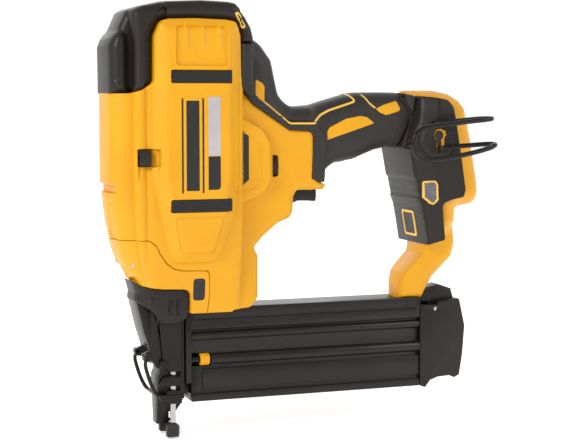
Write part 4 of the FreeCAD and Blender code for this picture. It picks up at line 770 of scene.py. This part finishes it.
# ---------------------------------------------------------------- pad on the nose's tip
# The soft black pad pushed over the yoke at the end of the contact trip; the work touches
# it first, and it rides up with the trip.
PAD_TIP = [(-6.4, -1.4, 1), (1.8, -1.4, 1), (1.8, 6.6, 1), (-0.4, 8.6, 1), (-4.8, 8.6, 1), (-6.4, 6.6, 1)]
for side in ("left", "right"):
    solid(f"tip_pad_{side}", rounded(PAD_TIP, 0.8), level_face(12.9), level_face(8.0),
          rubber, "no_mar_pad", side, grid=1.0, edge=0.8,
          body="contact_trip")


# ---------------------------------------------------------------- belt hook
# Black round wire bent twice on itself; both ends stand in the foot.
def wire(name, points, radius, material, node, body, flat=1.0, turns=12):
    """A round or slightly flattened wire along a smooth path (mm)."""
    p = np.array(points, float)
    path = []
    for i in range(len(p) - 1):
        a, b, c, d = p[max(i - 1, 0)], p[i], p[i + 1], p[min(i + 2, len(p) - 1)]
        for t in np.linspace(0, 1, 10, endpoint=False):
            path.append(0.5 * ((2 * b) + (c - a) * t + (2 * a - 5 * b + 4 * c - d) * t * t
                               + (3 * b - a - 3 * c + d) * t ** 3))
    path.append(p[-1])
    path = np.array(path)
    bm = bmesh.new()
    rings, up = [], Vector((0.03, 0.02, 1)).normalized()
    for i, q in enumerate(path):
        ahead = Vector(path[min(i + 1, len(path) - 1)] - path[max(i - 1, 0)]).normalized()
        across = ahead.cross(up).normalized()
        up = across.cross(ahead).normalized()
        rings.append([bm.verts.new((Vector(q) + across * radius * flat * math.cos(a)
                                    + up * radius * math.sin(a)) / 1000)
                      for a in np.linspace(0, 2 * math.pi, turns, endpoint=False)])
    for r, s in zip(rings, rings[1:]):
        for k in range(turns):
            bm.faces.new((r[k], r[(k + 1) % turns], s[(k + 1) % turns], s[k]))
    bm.faces.new(rings[0])
    bm.faces.new(rings[-1])
    bmesh.ops.recalc_face_normals(bm, faces=bm.faces)
    mesh = bpy.data.meshes.new(name)
    bm.to_mesh(mesh)
    bm.free()
    return dress(name, mesh, material, node, body)


hook_path = [(181, -31, 210.5), (181.2, -36.5, 210.6), (184, -38.6, 211.1), (196, -41.2, 212.4),
             (209, -43.6, 213.6), (214.6, -46.2, 213.9), (217, -49.6, 213.9), (214.6, -53, 213.7),
             (209, -54.6, 213.2), (196, -55.4, 212), (182, -55.9, 210.4), (168, -56, 208.8),
             (161.5, -56, 207.4), (156.7, -56, 203.6), (154.9, -56, 198), (156.4, -56, 191.8),
             (160.6, -56, 187.6), (167, -56, 186.2), (176, -56, 186.8), (188, -55.6, 188.4),
             (202, -55, 191), (213, -54, 193.6), (218, -52.2, 195.2), (220, -49.4, 196),
             (218, -46.4, 196.2), (212, -44, 195.9), (200, -41.4, 195), (190, -39.2, 194.1),
             (186, -37.6, 193.4), (184.4, -34.5, 192.9), (184.4, -30, 192.8)]
wire("belt_hook_wire", hook_path, 1.75, blacked, "belt_hook", "housing", flat=0.95)


# ---------------------------------------------------------------- lamp windows
# A clear lens on each side of the foot, in a yellow lip painted lighter as painted highlight.
LENS = [(175.4, 169.2, 1.2), (182, 169.7, 1.5), (183, 167.3, 1), (183.6, 157.4, 2), (182, 154.6, 1),
        (180, 155.4, 1), (176.2, 159.2, 1.2)]
LIP = [(174.3, 170.3, 2), (182.8, 170.8, 2), (184.1, 167.6, 1), (184.9, 156.9, 2), (182.2, 153.3, 1),
       (179.4, 154.3, 1), (175, 158.6, 2)]
for side in ("left", "right"):
    lip = solid(f"lamp_lip_{side}", rounded(LIP), raised(cover_face, 0.45),
                lambda x, z, d: cover_face(x, z) - 1, painted_highlight_yellow, [], side, grid=1.0, edge=0.5)
    solid(f"lamp_lens_{side}", rounded(LENS),
          lambda x, z: cover_face(x, z) + 0.75 + 0.25 * np.sin(x * 3.1) * np.sin(z * 2.3),
          lambda x, z, d: cover_face(x, z) - 0.5, lens, "lamp_lenses", side, grid=0.6, edge=0.6)


# ---------------------------------------------------------------- trigger
# The black nylon trigger, hollowed for the finger, hung in the mouth under the neck.
TRIGGER = [(81.9, 149.4, 0.6), (82.5, 161, 3), (84.6, 169, 2), (103, 169, 1), (103.3, 166),
           (103.6, 160.4, 1.5), (103, 156.2, 1.2), (97.5, 156.8), (90, 157, 4), (86.3, 155.6, 4),
           (84.2, 152.8, 2), (82.9, 149.4, 0.5)]
for side in ("left", "right"):
    solid(f"trigger_shell_{side}", rounded(TRIGGER, 0.8), level_face(8.3), level_face(0.02),
          black, "trigger", side, grid=1.2, edge=3.0, body="trigger")


# ---------------------------------------------------------------- wire bail of the jam door
# A bent steel wire pinned to the door; its cross bar hooks under the block of the nose.
half_bail = [(-20.9, -14.4, 55.4), (-22, -14.5, 50), (-20.4, -14.6, 43), (-18, -14.6, 36),
             (-15.4, -14.4, 30.6), (-13.8, -13.4, 28.6), (-13.2, -10.5, 28.1), (-13.2, -5, 28.1)]
bail_path = half_bail + [(-13.2, 0, 28.1)] + [(a, -b, c) for a, b, c in reversed(half_bail)]
wire("bail_wire", bail_path, 1.3, blacked, "latch_bail", "latch_bail", flat=0.9)
for side, sign in (("left", -1), ("right", 1)):
    wire(f"bail_pin_{side}", [(-20.8, sign * 12.4, 55), (-20.8, sign * 13.6, 55), (-20.8, sign * 14.8, 55),
                              (-20.8, sign * 15.7, 55)], 2.4, blacked, [], "latch_bail", turns=20)


# ---------------------------------------------------------------- metal and small moulded parts
# Nose, door, magazine, latch, contact trip and levers keep their machined shapes; their
# edges are broken by small bevels as the real castings, pressings and mouldings have.
def broken_edges(node_name, width, material=None, segments=2):
    """The same part with its loose triangles welded and its edges bevelled."""
    source = frame["nodes"][node_name]
    mesh = source.data.copy()
    bm = bmesh.new()
    bm.from_mesh(mesh)
    bmesh.ops.remove_doubles(bm, verts=bm.verts, dist=2e-6)
    bmesh.ops.dissolve_limit(bm, angle_limit=math.radians(1), verts=bm.verts, edges=bm.edges)
    bm.to_mesh(mesh)
    bm.free()
    holder = bpy.data.objects.new(node_name + "_holder", mesh)
    bpy.context.scene.collection.objects.link(holder)
    rounding = holder.modifiers.new("rounding", "BEVEL")
    rounding.width = width / 1e3
    rounding.segments = segments
    rounding.limit_method = "ANGLE"
    rounding.angle_limit = math.radians(40)
    graph = bpy.context.evaluated_depsgraph_get()
    done = bpy.data.meshes.new_from_object(holder.evaluated_get(graph))
    bpy.data.objects.remove(holder)
    body = frame["record"]["behaviour"]["bodies"]
    home = [name for name, names in body.items() if node_name in names][0]
    item = dress(node_name + "_part", done, material or BY_SLOT[SLOT_OF[node_name]], node_name, home)
    return item


frame["nodes"]["trigger_pin"].data.materials[0] = blacked
# The vent grilles are drawn in the black of painted shade, for the shade inside the vents.
frame["nodes"]["vent_grilles"].data.materials[0] = painted_shade_black
RAILS_FORWARD, RAILS_LOW = 0.009, 0.161
FOOT_TOP, CHANNEL_HALF = 0.016, 0.004
for node_name, width in (("jam_door", 0.3), ("magazine_rail", 0.3), ("magazine_slide", 0.4),
                         ("magazine_end_cap", 1.0), ("magazine_latch", 0.8), ("contact_trip", 0.25),
                         ("nosepiece", 0.35),
                         ("rod_collar", 0.3), ("stall_lever", 0.4), ("battery_rails", 0.8)):
    part = broken_edges(node_name, width)
    # the rails stay inside the foot's shell, and the nose's foot between the pad's cheeks
    for vertex in part.data.vertices:
        at = vertex.co
        if node_name == "battery_rails":
            at.x -= RAILS_FORWARD
            at.z = max(at.z, RAILS_LOW)
        elif node_name == "nosepiece" and at.z < FOOT_TOP and abs(at.y) > CHANNEL_HALF:
            at.y = math.copysign(max(CHANNEL_HALF, abs(at.y) * 0.5), at.y)
for node_name in ("door_rivets", "magazine_rod", "depth_wheel"):
    broken_edges(node_name, 0.1, segments=1)


# The hook's screw sits deep in its keyhole, with a blacked head; it and the brass inserts
# end just under the foot covers.
INSERT_HALF = 0.0318
for node_name, finish in (("hook_screw", blacked), ("hook_inserts", brass)):
    part = broken_edges(node_name, 0.2, finish, 1)
    for vertex in part.data.vertices:
        vertex.co.y = max(min(vertex.co.y, INSERT_HALF), -INSERT_HALF)


# ---------------------------------------------------------------- repeated ribs
# Finger ridges down the back of the end cap and slats in the four cooling vents, each a
# row of one rounded bar set out by a node group.
def bar(name, size, edge):
    """One rounded bar to be repeated (mm)."""
    bm = bmesh.new()
    bmesh.ops.create_cube(bm, size=1)
    bmesh.ops.scale(bm, vec=[v / 1e3 for v in size], verts=bm.verts)
    bmesh.ops.bevel(bm, geom=bm.edges, offset=edge / 1e3, segments=3, affect="EDGES", profile=0.6)
    mesh = bpy.data.meshes.new(name)
    bm.to_mesh(mesh)
    bm.free()
    item = bpy.data.objects.new(name, mesh)
    bpy.context.scene.collection.objects.link(item)
    return item


def row_group():
    """A node group that sets copies of an object in a straight row."""
    group = bpy.data.node_groups.new("row_of_parts", "GeometryNodeTree")
    for label, kind in (("Part", "NodeSocketObject"), ("Count", "NodeSocketInt"),
                        ("Start", "NodeSocketVector"), ("Step", "NodeSocketVector"),
                        ("Lean", "NodeSocketVector"), ("Finish", "NodeSocketMaterial")):
        group.interface.new_socket(label, in_out="INPUT", socket_type=kind)
    group.interface.new_socket("Geometry", in_out="OUTPUT", socket_type="NodeSocketGeometry")
    entry = add(group, "NodeGroupInput")
    line = add(group, "GeometryNodeMeshLine", [("Count", entry.outputs["Count"]),
                                               ("Start Location", entry.outputs["Start"]),
                                               ("Offset", entry.outputs["Step"])])
    part = add(group, "GeometryNodeObjectInfo", [("Object", entry.outputs["Part"])])
    turn = add(group, "FunctionNodeEulerToRotation", [("Euler", entry.outputs["Lean"])])
    copies = add(group, "GeometryNodeInstanceOnPoints",
                 [("Points", line.outputs["Mesh"]), ("Instance", part.outputs["Geometry"]),
                  ("Rotation", turn.outputs["Rotation"])])
    real = add(group, "GeometryNodeRealizeInstances", [("Geometry", copies.outputs["Instances"])])
    done = add(group, "GeometryNodeSetMaterial", [("Geometry", real.outputs["Geometry"]),
                                                  ("Material", entry.outputs["Finish"])])
    add(group, "NodeGroupOutput", [("Geometry", done.outputs["Geometry"])])
    return group


ROW = row_group()


def row(name, part, count, start, step, lean, material, body):
    """A row of bars made real and set on a body; start and step in mm, lean in degrees."""
    holder = bpy.data.objects.new(name + "_holder", bpy.data.meshes.new(name + "_empty"))
    bpy.context.scene.collection.objects.link(holder)
    modifier = holder.modifiers.new("row", "NODES")
    modifier.node_group = ROW
    inputs = {"Part": part, "Count": count, "Start": [v / 1e3 for v in start], "Finish": material,
              "Step": [v / 1e3 for v in step], "Lean": [math.radians(v) for v in lean]}
    for socket in ROW.interface.items_tree:
        if socket.in_out == "INPUT":
            modifier[socket.identifier] = inputs[socket.name]
    graph = bpy.context.evaluated_depsgraph_get()
    mesh = bpy.data.meshes.new_from_object(holder.evaluated_get(graph))
    bpy.data.objects.remove(holder)
    return dress(name, mesh, material, [], body)


ridge = bar("ridge_bar", (2.2, 17, 2.6), 0.9)
slat = bar("slat_bar", (40, 1.4, 0.9), 0.3)
row("end_cap_ridges", ridge, 8, (215.2, 0, 40), (0.12, 0, 3.4), (0, -2, 0), black, "magazine")
# The vent slats are drawn in the black of painted shade, for the shade inside the vents.
for side, sign in (("left", -1), ("right", 1)):
    for level, low in (("high", 239.4), ("low", 154.8)):
        slats = row(f"vent_slats_{level}_{side}", slat, 4, (11.8, sign * 37.0, low), (0, 0, 1.9),
                    (25 * sign, 0, 0), painted_shade_black, "housing")
for item in (ridge, slat):
    bpy.data.objects.remove(item)


# ---------------------------------------------------------------- floor
# A plain pale floor under the nose and a bright paper backdrop behind the tool.
bpy.ops.mesh.primitive_plane_add(size=12, location=(0, 0, cad_box[0][2] - 0.0005))
floor = bpy.context.object
floor.name = "floor"
bpy.ops.mesh.primitive_plane_add(size=14, location=(1.7, 4.6, 0), rotation=(math.radians(90), 0,
                                                                          math.radians(-20)))
backdrop = bpy.context.object
backdrop.name = "backdrop"
paper = bpy.data.materials.new("backdrop_paper")
paper.use_nodes = True
paper.node_tree.nodes.clear()
glow = add(paper.node_tree, "ShaderNodeEmission", Strength=1.05)
add(paper.node_tree, "ShaderNodeOutputMaterial", [("Surface", glow.outputs["Emission"])])
backdrop.data.materials.append(paper)
floor_paper = finish_of("pale_floor", "#FFFFFF", "#FCFCFC", 0.9, depth=0.0)
for shader in floor_paper.node_tree.nodes:
    if shader.type == "BSDF_PRINCIPLED":
        shader.inputs["Emission Color"].default_value = (1, 1, 1, 1)
        shader.inputs["Emission Strength"].default_value = 0.4
floor.data.materials.append(floor_paper)
